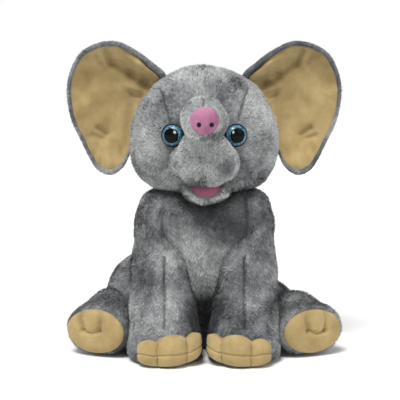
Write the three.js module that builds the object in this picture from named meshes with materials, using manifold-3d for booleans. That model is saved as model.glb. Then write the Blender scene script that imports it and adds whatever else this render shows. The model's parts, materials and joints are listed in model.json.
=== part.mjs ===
// A seated plush elephant, in millimetres: +Z up, facing -Y, its own left side at +X.
// Every soft part is a sewn skin of thin fabric around a core of stuffing. Parts that flex against each
// other meet on round surfaces centred on the hinge that joins them, so they turn without touching.
import * as THREE from 'three';
import { mergeVertices } from 'three/addons/utils/BufferGeometryUtils.js';
import Module from 'manifold-3d';

const wasm = await Module();
wasm.setup();

// ---- Driving dimensions -------------------------------------------------------------------------

const SKIN = 2; // thickness of the plush fabric without its pile
const FIT_GAP = 0.3; // between pieces that lie on each other
const CORE_GAP = 1; // between a skin and the stuffing inside it
const SEAM_GAP = 1.4; // between two parts that flex against each other
const ROUND_STEPS = 16; // sides of a round section
const BALL_STEPS = 10; // rings of a ball from pole to pole
const CORE_COARSER = 2; // stuffing has this many times fewer sides and rings than its skin

// Torso: a pear that sits flat on the floor, with a round haunch on each side.
const TORSO_HEIGHT = 206;
const TORSO_HALF_WIDTH = 84;
const TORSO_HALF_DEPTH = 72;
const TORSO_BASE_Y = 24; // the seat lies behind the shoulders
const TORSO_TOP_Y = 4;
const HAUNCH_INSET = 6; // from the torso's side in to the haunch's middle
const HAUNCH_Z = 58;
const HAUNCH_RADII = [47, 50, 56];
const NECK_RADIUS = 32;
const NECK_DEPTH = 20; // how far the neck's plug reaches into the torso

// Head: wider than deep, round about the nodding axis. It sinks a little into the shoulders.
const HEAD_RADII = [87, 76, 76];
const HEAD_Y = -5;
const HEAD_SINK = 10;
const HEAD_NECK_GAP = 7; // between the head's underside and the hollow of the neck's plug

// Trunk: a muzzle ball at the face, a short bend and an upturned round tip. Places are forward and up: the
// muzzle's from the face's foremost point and the head's underside, the others from the muzzle's middle.
const MUZZLE_PLACE = [-1, 42];
const MUZZLE_HALF_WIDTH = 41;
const MUZZLE_RADIUS = 29;
const BEND_PLACE = [23, 19];
const BEND_RADII = [28, 20];
const TIP_PLACE = [36, 52];
const TIP_RADIUS = 25;
const TIP_PATCH_RADIUS = 15.5;
const FELT = 1.5; // thickness of the felt disc on the tip
const NOSTRIL_RADIUS = 2.4;
const NOSTRIL_PLACE = [6.3, -3]; // from the tip's middle: sideways and up
const NOSTRIL_RISE = 0.9;

// Mouth, below the trunk.
const JAW_RADII = [35, 25, 17];
const JAW_BEHIND = 20; // from the muzzle's middle back to the jaw's
const JAW_RISE = 10; // from the head's underside up to the jaw's middle
const JAW_REACH_BACK = 4; // the lip ends this far behind the jaw's middle, clear of the chest
const MOUTH_HALF_WIDTH = 21;
const MOUTH_BELOW = 9; // from the jaw's middle down to the lip's edge
const MOUTH_AHEAD = 10; // the lining runs back to this far ahead of the jaw's middle
const LINING = 1.5;

// Eyes: a clear dome over a glitter disc and a pupil, with a stem locked by a washer inside the head.
const EYE_RADIUS = 13;
const EYE_ROUND_MUZZLE = 45.4; // degrees up round the muzzle's outline, seen from ahead
const EYE_TUCK = 0.4; // how far the muzzle's outline covers the eye's edge, seen from ahead
const EYE_DOME_HEIGHT = 7.5;
const EYE_BASE = 1.6; // thickness of the base disc
const EYE_DISC = 0.8; // thickness of the iris and pupil discs
const EYE_DOME_STEPS = 6;
const PUPIL_RADIUS = 6.4;
const STEM_RADIUS = 2.6;
const STEM_LENGTH = 17;
const WASHER_RADIUS = 9;
const WASHER = 1.6;
const WASHER_DEPTH = 6; // from the fabric's face to the washer

// Ears: two sheets of fabric sewn edge to edge. The outline is outward from the head's side and up from
// its middle; the first two points end the seam that joins the ear to the head.
const EAR_OUTLINE = [
  [5, -26], [-35, 70], [-9, 95], [21, 105], [57, 89], [78, 48],
  [71, 10], [55, -20], [31, -53], [13, -43],
];
const EAR_MIDDLE = [23, 28];
const EAR_SHEET = 2.4;
const EAR_CUP = 12; // how far the rim curves forward of the middle
const EAR_BEHIND = 11; // behind the head's middle
const EAR_ROOT_GAP = 4.5; // from the head to the ears' sheets, which fold there
const EAR_STEPS = 24;
const EAR_RINGS = [0.4, 0.75]; // inside the rim
const LINING_INSET = 0.94; // the tan lining stops inside the grey rim

// Front legs: upright columns from the shoulders to flat feet.
const SHOULDER_DROP = 50; // from the torso's top
const SHOULDER_X = 50;
const SHOULDER_Y = -22;
const SHOULDER_HALF_WIDTH = 34;
const SHOULDER_RADIUS = 37;
const FRONT_FOOT_AT = [46, -62];
const FRONT_FOOT_RADII = [42.5, 42.5];
const TOE_PAD_TOP = 39;
const TOE_PAD_BOTTOM = 2.5;
const TOE_PAD_BEHIND = -4; // the toe pad covers the foot from this far behind its middle
const FRONT_LEG_SWING = 45; // degrees that a front leg lifts forward

// Hind legs: short columns that lie on the floor, splayed out, with the sole facing forward.
const HIP_OUT = 32; // from the haunch's middle
const HIP_Y = 0;
const HIP_Z = 39;
const HIP_RADIUS = 36;
const HIND_SPLAY = 24; // degrees out from straight ahead
const HIND_LENGTH = 50; // from the hip to the sole
const HIND_FOOT_RADII = [40, 30.5];
const HIND_FOOT_DROP = 8; // how much lower the sole's middle is than the hip
const SOLE_PAD_INSET = 3; // from the foot's edge to its tan sole
const HIND_LEG_LIFT = 20; // degrees that a hind leg lifts

// Tail.
const TAIL_OUT = 3; // from the torso's back to the middle of the tail's root
const TAIL_Z = 66;
const TAIL_RADIUS = 6;
const TAIL_LENGTH = 46;
const TAIL_SLANT = 11; // how far its end hangs out behind its root
const TUFT_RADIUS = 8.5;
const TUFT_LENGTH = 24;

// Places that follow from these.
const headUnderside = TORSO_HEIGHT - HEAD_SINK;
const HEAD_AT = [0, HEAD_Y, headUnderside + HEAD_RADII[2]];
const MUZZLE_AT = [0, HEAD_Y - HEAD_RADII[1] - MUZZLE_PLACE[0], headUnderside + MUZZLE_PLACE[1]];
const fromMuzzle = ([ahead, up]) => [0, MUZZLE_AT[1] - ahead, MUZZLE_AT[2] + up];
const BEND_AT = fromMuzzle(BEND_PLACE);
const TIP_AT = fromMuzzle(TIP_PLACE);
const JAW_AT = [0, MUZZLE_AT[1] + JAW_BEHIND, headUnderside + JAW_RISE];
const SHOULDER_AT = [SHOULDER_X, SHOULDER_Y, TORSO_HEIGHT - SHOULDER_DROP];
const HAUNCH_AT = [TORSO_HALF_WIDTH - HAUNCH_INSET, TORSO_BASE_Y, HAUNCH_Z];
const HIP_AT = [HAUNCH_AT[0] + HIP_OUT, HIP_Y, HIP_Z];
const eyeTurn = THREE.MathUtils.degToRad(EYE_ROUND_MUZZLE);
const eyeOut = new THREE.Vector2(Math.cos(eyeTurn) / MUZZLE_HALF_WIDTH, Math.sin(eyeTurn) / MUZZLE_RADIUS)
  .setLength(EYE_RADIUS - EYE_TUCK);
const EYE_X = MUZZLE_HALF_WIDTH * Math.cos(eyeTurn) + eyeOut.x;
const EYE_Z = MUZZLE_AT[2] + MUZZLE_RADIUS * Math.sin(eyeTurn) + eyeOut.y;
const TAIL_AT = [0, TORSO_BASE_Y + TORSO_HALF_DEPTH + TAIL_OUT, TAIL_Z];

// ---- Materials ----------------------------------------------------------------------------------

const material = (color, roughness) => new THREE.MeshStandardMaterial({ color, roughness, metalness: 0 });
const greyPlush = material(0x969896, 0.95);
const tanVelour = material(0xc8a96e, 0.9);
const pinkFelt = material(0xd07ca8, 0.9);
const mouthVelour = material(0xbe5f8c, 0.9);
const blackThread = material(0x161616, 0.7);
const stuffing = material(0xf2f1ec, 1);
const clearPlastic = material(0xdfeaf0, 0.05);
const glitterBlue = material(0x4696be, 0.3);
const blackPlastic = material(0x101012, 0.25);
const whitePlastic = material(0xe9e9e6, 0.5);

// ---- Solids -------------------------------------------------------------------------------------

/** A three.js geometry as a solid that can be joined and cut. */
function solid(geometry) {
  const bare = geometry.index ? geometry.toNonIndexed() : geometry.clone();
  bare.deleteAttribute('normal');
  bare.deleteAttribute('uv');
  const merged = mergeVertices(bare, 1e-4);
  const places = merged.attributes.position;
  const corners = Array.from(merged.index.array);
  const faces = [];
  let volume = 0;
  const [a, b, c] = [new THREE.Vector3(), new THREE.Vector3(), new THREE.Vector3()];
  for (let i = 0; i < corners.length; i += 3) {
    const face = corners.slice(i, i + 3);
    if (new Set(face).size < 3) continue;
    faces.push(face);
    a.fromBufferAttribute(places, face[0]);
    b.fromBufferAttribute(places, face[1]);
    c.fromBufferAttribute(places, face[2]);
    volume += a.dot(b.cross(c));
  }
  const outward = volume > 0 ? faces : faces.map((face) => face.reverse());
  return new wasm.Manifold(new wasm.Mesh({
    numProp: 3,
    vertProperties: new Float32Array(places.array),
    triVerts: new Uint32Array(outward.flat()),
  }));
}

const elephant = new THREE.Group();

/** Adds a solid to the elephant as a named piece. */
function piece(name, shape, look) {
  const { vertProperties, triVerts } = shape.getMesh();
  const geometry = new THREE.BufferGeometry();
  geometry.setAttribute('position', new THREE.BufferAttribute(new Float32Array(vertProperties), 3));
  geometry.setIndex(new THREE.BufferAttribute(new Uint32Array(triVerts), 1));
  geometry.computeVertexNormals();
  const mesh = new THREE.Mesh(geometry, look);
  mesh.name = name;
  elephant.add(mesh);
}

const union = (shapes) => shapes.reduce((whole, next) => whole.add(next));
const mirrored = ([x, y, z], side) => [x * side, y, z];

/** How much coarser a form is drawn: stuffing lies deeper than its skin and needs fewer faces. */
const coarser = (grow) => (grow < -SKIN ? CORE_COARSER : 1);

/** An ellipsoid with its poles on the X axis, about which the limbs and the head swing. */
function ball(at, radii, grow = 0) {
  const geometry = new THREE.SphereGeometry(1, ROUND_STEPS / coarser(grow), BALL_STEPS / coarser(grow));
  geometry.rotateZ(Math.PI / 2);
  geometry.scale(radii[0] + grow, radii[1] + grow, radii[2] + grow);
  return solid(geometry.translate(...at));
}

/**
 * A closed form through elliptical sections. Each section has a middle, two half sizes and the normal of
 * its plane; `across` is the direction of the first half size. Growing moves the walls and both ends out.
 */
function loft(sections, across, grow = 0) {
  const places = [];
  const steps = ROUND_STEPS / coarser(grow);
  const ring = sections.map(({ at, half, normal }, i) => {
    const end = i === 0 ? -1 : Number(i === sections.length - 1);
    const n = new THREE.Vector3(...normal).normalize();
    const u = new THREE.Vector3(...across);
    u.addScaledVector(n, -u.dot(n)).normalize();
    const v = new THREE.Vector3().crossVectors(n, u);
    const middle = new THREE.Vector3(...at).addScaledVector(n, end * grow);
    const start = places.length / 3;
    for (let k = 0; k < steps; k += 1) {
      const angle = (k / steps) * 2 * Math.PI;
      const point = middle.clone();
      point.addScaledVector(u, Math.cos(angle) * (half[0] + grow));
      point.addScaledVector(v, Math.sin(angle) * (half[1] + grow));
      places.push(point.x, point.y, point.z);
    }
    return { start, middle };
  });
  const corners = [];
  for (let i = 0; i + 1 < ring.length; i += 1) {
    for (let k = 0; k < steps; k += 1) {
      const next = (k + 1) % steps;
      const [a, b] = [ring[i].start + k, ring[i].start + next];
      const [c, d] = [ring[i + 1].start + k, ring[i + 1].start + next];
      corners.push(a, b, d, a, d, c);
    }
  }
  for (const [end, turn] of [[0, false], [ring.length - 1, true]]) {
    const pole = places.length / 3;
    places.push(...ring[end].middle.toArray());
    for (let k = 0; k < steps; k += 1) {
      const [a, b] = [ring[end].start + k, ring[end].start + ((k + 1) % steps)];
      corners.push(...(turn ? [a, b, pole] : [b, a, pole]));
    }
  }
  const geometry = new THREE.BufferGeometry();
  geometry.setAttribute('position', new THREE.Float32BufferAttribute(places, 3));
  geometry.setIndex(corners);
  return solid(geometry);
}

/** A rod of a round section between two points, used as a cutter. */
function rod(from, to, radius) {
  const axis = new THREE.Vector3(...to).sub(new THREE.Vector3(...from));
  const geometry = new THREE.CylinderGeometry(radius, radius, axis.length(), ROUND_STEPS);
  geometry.translate(0, axis.length() / 2, 0);
  geometry.applyQuaternion(new THREE.Quaternion().setFromUnitVectors(
    new THREE.Vector3(0, 1, 0),
    axis.normalize(),
  ));
  return solid(geometry.translate(...from));
}

/** A box between two corners, used as a cutter. */
function block(low, high) {
  const size = high.map((value, i) => value - low[i]);
  const middle = high.map((value, i) => (value + low[i]) / 2);
  return solid(new THREE.BoxGeometry(...size).translate(...middle));
}

/**
 * A wedge of room that a limb swings through: in the upright plane that points `ahead` from the pivot, from
 * the limb's line at rest up to `radius` above its line at the limit. Angles are in degrees from straight down.
 */
function fan(pivot, ahead, halfWidth, radius, rest, limit) {
  const line = (degrees, length) => {
    const angle = THREE.MathUtils.degToRad(degrees);
    return new THREE.Vector2(Math.sin(angle) * length, -Math.cos(angle) * length);
  };
  const lift = line(limit + 90, radius);
  const far = line(limit, REACH).add(lift);
  const outline = new THREE.Shape([
    new THREE.Vector2(-radius / 2, 0), line(rest, REACH), line((rest + limit) / 2, REACH * 1.5), far, lift,
  ]);
  const geometry = new THREE.ExtrudeGeometry(outline, { depth: 2 * halfWidth, bevelEnabled: false });
  geometry.translate(0, 0, -halfWidth);
  const [x, z] = [new THREE.Vector3(...ahead), new THREE.Vector3(0, 0, 1)];
  geometry.applyMatrix4(new THREE.Matrix4().makeBasis(x, z, new THREE.Vector3().crossVectors(x, z)));
  return solid(geometry.translate(...pivot));
}

const REACH = 400; // longer than the whole toy, for cutters

// ---- Forms: each takes how far to grow its surface ------------------------------------------------

function torsoForm(grow) {
  const profile = [[0, 0.74], [0.06, 0.92], [0.22, 1], [0.46, 0.96], [0.7, 0.8], [0.88, 0.7], [0.96, 0.58]];
  const sections = profile.concat([[1, 0.42]]).map(([level, share]) => ({
    at: [0, THREE.MathUtils.lerp(TORSO_BASE_Y, TORSO_TOP_Y, level), level * TORSO_HEIGHT],
    half: [TORSO_HALF_WIDTH * share, TORSO_HALF_DEPTH * share],
    normal: [0, 0, 1],
  }));
  const haunches = [-1, 1].map((side) => ball(mirrored(HAUNCH_AT, side), HAUNCH_RADII, grow));
  return union([loft(sections, [1, 0, 0], grow), ...haunches]);
}

const headForm = (grow) => ball(HEAD_AT, HEAD_RADII, grow);

const muzzleForm = (grow) => ball(MUZZLE_AT, [MUZZLE_HALF_WIDTH, MUZZLE_RADIUS, MUZZLE_RADIUS], grow);

const tipForm = (grow) => ball(TIP_AT, [TIP_RADIUS, TIP_RADIUS, TIP_RADIUS], grow);

function trunkForm(grow) {
  const rootRadii = [MUZZLE_RADIUS * 0.9, MUZZLE_RADIUS * 0.5];
  const neckRadii = [TIP_RADIUS * 0.8, TIP_RADIUS * 0.8];
  const sections = [
    { at: [0, MUZZLE_AT[1] - MUZZLE_RADIUS * 0.35, MUZZLE_AT[2]], half: rootRadii, normal: [0, -0.6, 1] },
    { at: BEND_AT, half: BEND_RADII, normal: [0, -0.4, 1] },
    { at: TIP_AT, half: neckRadii, normal: [0, -0.2, 1] },
  ];
  return union([muzzleForm(grow), loft(sections, [1, 0, 0], grow), tipForm(grow)]);
}

const shoulderForm = (side, grow) => ball(
  mirrored(SHOULDER_AT, side),
  [SHOULDER_HALF_WIDTH, SHOULDER_RADIUS, SHOULDER_RADIUS],
  grow,
);

function frontLegForm(side, grow) {
  const [shoulderX, shoulderY, shoulderZ] = SHOULDER_AT;
  const [footX, footY] = FRONT_FOOT_AT;
  const down = [[0.97, 0.78], [0.85, 0.92], [0.6, 0.9], [0.34, 0.86], [0.16, 0.95], [0.07, 1], [0, 0.94]];
  const sections = down.map(([level, share]) => {
    const along = THREE.MathUtils.smoothstep(1 - level, 0, 1);
    const wide = THREE.MathUtils.lerp(SHOULDER_HALF_WIDTH, FRONT_FOOT_RADII[0], along);
    const deep = THREE.MathUtils.lerp(SHOULDER_RADIUS, FRONT_FOOT_RADII[1], along);
    return {
      at: [
        side * THREE.MathUtils.lerp(shoulderX, footX, along),
        THREE.MathUtils.lerp(shoulderY, footY, 1 - level),
        shoulderZ * level,
      ],
      half: [wide * share, deep * share],
      normal: [0, 0, -1],
    };
  });
  return shoulderForm(side, grow).add(loft(sections, [1, 0, 0], grow));
}

const splay = THREE.MathUtils.degToRad(HIND_SPLAY);
const hindAhead = (side) => [side * Math.sin(splay), -Math.cos(splay), 0];
const hindAxis = (side) => [side * Math.cos(splay), Math.sin(splay), 0];

function hindSections(side, halves) {
  return halves.map(([along, half]) => {
    const ahead = hindAhead(side).map((value) => value * along * HIND_LENGTH);
    return {
      at: [side * HIP_AT[0] + ahead[0], HIP_AT[1] + ahead[1], HIP_AT[2] - HIND_FOOT_DROP * along],
      half,
      normal: hindAhead(side),
    };
  });
}

function hindLegForm(side, grow) {
  const [wide, high] = HIND_FOOT_RADII;
  const sections = hindSections(side, [
    [0.1, [HIP_RADIUS * 0.95, HIP_RADIUS * 0.9]],
    [0.55, [wide * 0.94, high * 1.02]],
    [0.82, [wide, high]],
    [0.92, [wide * 0.98, high * 0.98]],
    [1, [wide * 0.92, high * 0.92]],
  ]);
  const hip = ball(mirrored(HIP_AT, side), [HIP_RADIUS, HIP_RADIUS, HIP_RADIUS], grow);
  return hip.add(loft(sections, hindAxis(side), grow));
}

// ---- Torso and neck -------------------------------------------------------------------------------

const frontLean = THREE.MathUtils.radToDeg(
  Math.atan2(SHOULDER_AT[1] - FRONT_FOOT_AT[1], SHOULDER_AT[2]),
);
const hindLean = 90 - THREE.MathUtils.radToDeg(Math.atan2(HIND_FOOT_DROP, HIND_LENGTH));
const legRoom = union([-1, 1].flatMap((side) => [
  frontLegForm(side, SEAM_GAP),
  fan(
    mirrored(SHOULDER_AT, side),
    [0, -1, 0],
    SHOULDER_HALF_WIDTH + 2 * SEAM_GAP,
    SHOULDER_RADIUS + SEAM_GAP,
    frontLean,
    frontLean + FRONT_LEG_SWING,
  ),
  hindLegForm(side, SEAM_GAP),
  fan(
    mirrored(HIP_AT, side),
    hindAhead(side),
    HIND_FOOT_RADII[0] + SEAM_GAP,
    HIP_RADIUS + SEAM_GAP,
    hindLean,
    hindLean + HIND_LEG_LIFT,
  ),
]));
const neckFloor = TORSO_HEIGHT - NECK_DEPTH;
const neckRoom = rod(
  [HEAD_AT[0], HEAD_AT[1], neckFloor - SEAM_GAP],
  [HEAD_AT[0], HEAD_AT[1], REACH],
  NECK_RADIUS + SEAM_GAP,
);
const headRoom = ball(HEAD_AT, HEAD_RADII, HEAD_NECK_GAP);
const tailRoom = ball(TAIL_AT, [TAIL_RADIUS, TAIL_RADIUS, TAIL_RADIUS], SEAM_GAP);
const torsoRoom = union([legRoom, neckRoom, headRoom, tailRoom]);

piece('torso_skin', torsoForm(0).subtract(torsoForm(-SKIN)).subtract(torsoRoom), greyPlush);
piece('torso_stuffing', torsoForm(-SKIN - CORE_GAP).subtract(torsoRoom), stuffing);

const neckPlug = rod([HEAD_AT[0], HEAD_AT[1], neckFloor], [HEAD_AT[0], HEAD_AT[1], TORSO_HEIGHT], NECK_RADIUS);
const neckHollowRadius = HEAD_RADII[2] + HEAD_NECK_GAP;
const neckHollow = ball(HEAD_AT, [neckHollowRadius, neckHollowRadius, neckHollowRadius]);
piece('neck_stuffing', neckPlug.subtract(neckHollow), stuffing);

// ---- Head, trunk and mouth ------------------------------------------------------------------------

const muzzleRoom = muzzleForm(SEAM_GAP);
const neckOpening = rod([HEAD_AT[0], HEAD_AT[1], 0], HEAD_AT, NECK_RADIUS * 0.8);
const headCore = headForm(-SKIN);

/** The eye's place on the head and the direction that it looks in. */
function eyeFrame(side) {
  const [across, up] = [side * EYE_X, EYE_Z - HEAD_AT[2]];
  const [a, b, c] = HEAD_RADII;
  const forward = b * Math.sqrt(1 - (across / a) ** 2 - (up / c) ** 2);
  const at = new THREE.Vector3(across, HEAD_AT[1] - forward, HEAD_AT[2] + up);
  const ahead = new THREE.Vector3(across / a ** 2, -forward / b ** 2, up / c ** 2).normalize();
  return { at, ahead };
}

/** A turned part of the eye: radii and depths measured from the fabric's face, outward positive. */
function eyePart(side, profile) {
  const { at, ahead } = eyeFrame(side);
  const points = profile.map(([radius, height]) => new THREE.Vector2(radius, height));
  const geometry = new THREE.LatheGeometry(points, ROUND_STEPS);
  geometry.applyQuaternion(new THREE.Quaternion().setFromUnitVectors(new THREE.Vector3(0, 1, 0), ahead));
  return solid(geometry.translate(at.x, at.y, at.z));
}

const disc = (radius, low, high) => [[0, low], [radius, low], [radius, high], [0, high]];
const sides = [['left', 1], ['right', -1]];
const eyeRoom = union(sides.flatMap(([, side]) => [
  eyePart(side, disc(STEM_RADIUS + FIT_GAP, -STEM_LENGTH - FIT_GAP, EYE_BASE)),
  eyePart(side, disc(WASHER_RADIUS + FIT_GAP, -WASHER_DEPTH - WASHER - FIT_GAP, -WASHER_DEPTH + FIT_GAP)),
  eyePart(side, disc(EYE_RADIUS + FIT_GAP, 0, REACH / 10)),
]));

piece(
  'head_skin',
  headForm(0).subtract(headCore).subtract(union([muzzleRoom, neckOpening, eyeRoom])),
  greyPlush,
);
piece('head_stuffing', headForm(-SKIN - CORE_GAP).subtract(union([muzzleRoom, eyeRoom])), stuffing);

const jawForm = (grow) => ball(JAW_AT, JAW_RADII, grow);
const chest = block([-REACH, JAW_AT[1] + JAW_REACH_BACK, 0], [REACH, REACH, HEAD_AT[2]]);
const jawRoom = union([headForm(FIT_GAP), muzzleRoom, chest]);

/** The lining of the mouth, a patch on the front of the jaw, grown on every side. */
function mouthForm(grow) {
  const half = MOUTH_HALF_WIDTH + grow;
  const low = [-half, -REACH, JAW_AT[2] - MOUTH_BELOW - grow];
  const high = [half, JAW_AT[1] - MOUTH_AHEAD + grow, HEAD_AT[2]];
  return jawForm(grow).subtract(jawForm(-LINING - grow)).intersect(block(low, high));
}

piece('lower_lip', jawForm(0).subtract(jawRoom).subtract(mouthForm(FIT_GAP)), greyPlush);
piece('mouth_lining', mouthForm(0).subtract(jawRoom), mouthVelour);

const trunkMouth = rod([MUZZLE_AT[0], HEAD_AT[1], MUZZLE_AT[2]], MUZZLE_AT, MUZZLE_RADIUS * 0.6);
piece('trunk_skin', trunkForm(0).subtract(trunkForm(-SKIN)).subtract(trunkMouth), greyPlush);
piece('trunk_stuffing', trunkForm(-SKIN - CORE_GAP), stuffing);

/** A patch of even thickness on the trunk's tip, cut round by a rod that points forward. */
function tipPatch(across, up, radius, low, high) {
  const [x, y, z] = [TIP_AT[0] + across, TIP_AT[1], TIP_AT[2] + up];
  return tipForm(high).subtract(tipForm(low)).intersect(rod([x, y, z], [x, y - REACH, z], radius));
}

piece('trunk_tip_patch', tipPatch(0, 0, TIP_PATCH_RADIUS, FIT_GAP, FIT_GAP + FELT), pinkFelt);

// ---- Pieces that come in pairs --------------------------------------------------------------------

/** A sheet of an ear between two distances in front of the ear's middle surface. */
function earSheet(side, low, high, inset) {
  const outline = new THREE.CatmullRomCurve3(
    EAR_OUTLINE.map(([out, up]) => new THREE.Vector3(HEAD_RADII[0] + out, 0, HEAD_AT[2] + up)),
    true,
    'centripetal',
  );
  const middle = new THREE.Vector3(HEAD_RADII[0] + EAR_MIDDLE[0], 0, HEAD_AT[2] + EAR_MIDDLE[1]);
  const middleY = HEAD_Y + EAR_BEHIND;
  const levels = [...EAR_RINGS, inset];
  const places = [];
  const layer = (forward) => {
    const start = places.length / 3;
    places.push(side * middle.x, middleY - forward, middle.z);
    for (const level of levels) {
      for (let k = 0; k < EAR_STEPS; k += 1) {
        const point = middle.clone().lerp(outline.getPoint(k / EAR_STEPS), level);
        places.push(side * point.x, middleY - EAR_CUP * level ** 2 - forward, point.z);
      }
    }
    return start;
  };
  const [back, front] = [layer(low), layer(high)];
  const corners = [];
  const last = (levels.length - 1) * EAR_STEPS;
  for (let k = 0; k < EAR_STEPS; k += 1) {
    const next = (k + 1) % EAR_STEPS;
    corners.push(back, back + 1 + k, back + 1 + next, front, front + 1 + next, front + 1 + k);
    for (let level = 0; level + 1 < levels.length; level += 1) {
      const [a, b] = [1 + level * EAR_STEPS + k, 1 + level * EAR_STEPS + next];
      const [c, d] = [a + EAR_STEPS, b + EAR_STEPS];
      corners.push(back + a, back + c, back + d, back + a, back + d, back + b);
      corners.push(front + a, front + d, front + c, front + a, front + b, front + d);
    }
    const [a, b] = [1 + last + k, 1 + last + next];
    corners.push(back + a, front + a, front + b, back + a, front + b, back + b);
  }
  const geometry = new THREE.BufferGeometry();
  geometry.setAttribute('position', new THREE.Float32BufferAttribute(places, 3));
  geometry.setIndex(corners);
  return solid(geometry).subtract(headForm(EAR_ROOT_GAP));
}

for (const [name, side] of sides) {
  const [dome, base] = [EYE_DOME_HEIGHT, EYE_BASE + FIT_GAP];
  const discTop = base + EYE_DISC;
  const seat = discTop + FIT_GAP;
  const domeArc = Array.from({ length: EYE_DOME_STEPS }, (_, i) => {
    const angle = (i / EYE_DOME_STEPS) * (Math.PI / 2);
    return [EYE_RADIUS * Math.cos(angle), seat + (dome - seat) * Math.sin(angle)];
  });
  piece(`${name}_eye_dome`, eyePart(side, [[0, seat], ...domeArc, [0, dome]]), clearPlastic);
  const iris = eyePart(side, disc(EYE_RADIUS - FIT_GAP, base, discTop));
  piece(
    `${name}_eye_iris`,
    iris.subtract(eyePart(side, disc(PUPIL_RADIUS + FIT_GAP, 0, dome))),
    glitterBlue,
  );
  piece(`${name}_eye_pupil`, eyePart(side, disc(PUPIL_RADIUS, base, discTop)), blackPlastic);
  piece(`${name}_eye_stem`, eyePart(side, [
    [0, -STEM_LENGTH], [STEM_RADIUS, -STEM_LENGTH], [STEM_RADIUS, FIT_GAP],
    [EYE_RADIUS - FIT_GAP, FIT_GAP], [EYE_RADIUS - FIT_GAP, EYE_BASE], [0, EYE_BASE],
  ]), blackPlastic);
  const washer = eyePart(side, disc(WASHER_RADIUS, -WASHER_DEPTH - WASHER, -WASHER_DEPTH));
  const washerHole = eyePart(side, disc(STEM_RADIUS + FIT_GAP, -STEM_LENGTH, 0));
  piece(`${name}_eye_washer`, washer.subtract(washerHole), whitePlastic);

  const [across, up] = NOSTRIL_PLACE;
  const nostrilFoot = FIT_GAP * 2 + FELT;
  const nostril = tipPatch(side * across, up, NOSTRIL_RADIUS, nostrilFoot, nostrilFoot + NOSTRIL_RISE);
  piece(`${name}_nostril`, nostril, blackThread);

  piece(`${name}_ear_back`, earSheet(side, -EAR_SHEET, 0, 1), greyPlush);
  piece(`${name}_ear_lining`, earSheet(side, FIT_GAP, FIT_GAP + EAR_SHEET, LINING_INSET), tanVelour);

  const shoulder = mirrored(SHOULDER_AT, side);
  const shoulderOpening = rod(shoulder, [0, TORSO_BASE_Y, shoulder[2]], SHOULDER_RADIUS * 0.5);
  const frontCore = frontLegForm(side, -SKIN);
  piece(
    `${name}_front_leg_skin`,
    frontLegForm(side, 0).subtract(frontCore).subtract(shoulderOpening),
    greyPlush,
  );
  piece(`${name}_front_leg_stuffing`, frontLegForm(side, -SKIN - CORE_GAP), stuffing);
  const toeBox = block(
    [-REACH, -REACH, TOE_PAD_BOTTOM],
    [REACH, FRONT_FOOT_AT[1] + TOE_PAD_BEHIND, TOE_PAD_TOP],
  );
  const toePad = frontLegForm(side, FIT_GAP + SKIN).subtract(frontLegForm(side, FIT_GAP));
  piece(`${name}_front_toe_pad`, toePad.intersect(toeBox), tanVelour);

  const hip = mirrored(HIP_AT, side);
  const hipOpening = rod(hip, [0, TORSO_BASE_Y, hip[2]], HIP_RADIUS * 0.5);
  const hindCore = hindLegForm(side, -SKIN);
  piece(
    `${name}_hind_leg_skin`,
    hindLegForm(side, 0).subtract(hindCore).subtract(hipOpening),
    greyPlush,
  );
  piece(`${name}_hind_leg_stuffing`, hindLegForm(side, -SKIN - CORE_GAP), stuffing);
  const soleRadii = HIND_FOOT_RADII.map((radius) => radius - SOLE_PAD_INSET);
  const padEnds = [FIT_GAP, FIT_GAP + SKIN].map((out) => [1 + out / HIND_LENGTH, soleRadii]);
  piece(`${name}_hind_sole_pad`, loft(hindSections(side, padEnds), hindAxis(side)), tanVelour);
}

// ---- Tail -----------------------------------------------------------------------------------------

const tailFoot = [TAIL_AT[0], TAIL_AT[1] + TAIL_SLANT, TAIL_AT[2] - TAIL_LENGTH];
const tailRadii = [TAIL_RADIUS, TAIL_RADIUS, TAIL_RADIUS];
const tail = union([
  ball(TAIL_AT, tailRadii),
  rod(TAIL_AT, tailFoot, TAIL_RADIUS * 0.98),
]);
const tuftAt = [tailFoot[0], tailFoot[1], tailFoot[2] - FIT_GAP];
const tuft = ball(
  [tuftAt[0], tuftAt[1], tuftAt[2] + TUFT_LENGTH * 0.1],
  [TUFT_RADIUS, TUFT_RADIUS, TUFT_LENGTH / 2],
);
piece('tail', tail.subtract(tuft), greyPlush);
piece('tail_tuft', tuft, greyPlush);

// ---- Origin: on the floor, under the middle of the toy ---------------------------------------------

const bounds = new THREE.Box3().setFromObject(elephant);
elephant.position.set(0, -(bounds.min.y + bounds.max.y) / 2, -bounds.min.z);

export default elephant;
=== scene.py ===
# %% [markdown]
# # A stuffed elephant, sewn from plush
# The toy is a sewn skin of long grey pile around polyester stuffing, with tan velour ears and soles, a felt
# disc on the trunk and two glitter eyes. Each skin here is one smooth closed surface, found by shooting rays
# from the middle of the limb outwards, and the pile is planted on it as many thousand small blades.
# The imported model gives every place: a limb rides on the body that the model hinges, so it turns about the
# same ball-shaped joint that the solid has.

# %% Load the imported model
import json
import math

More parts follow.
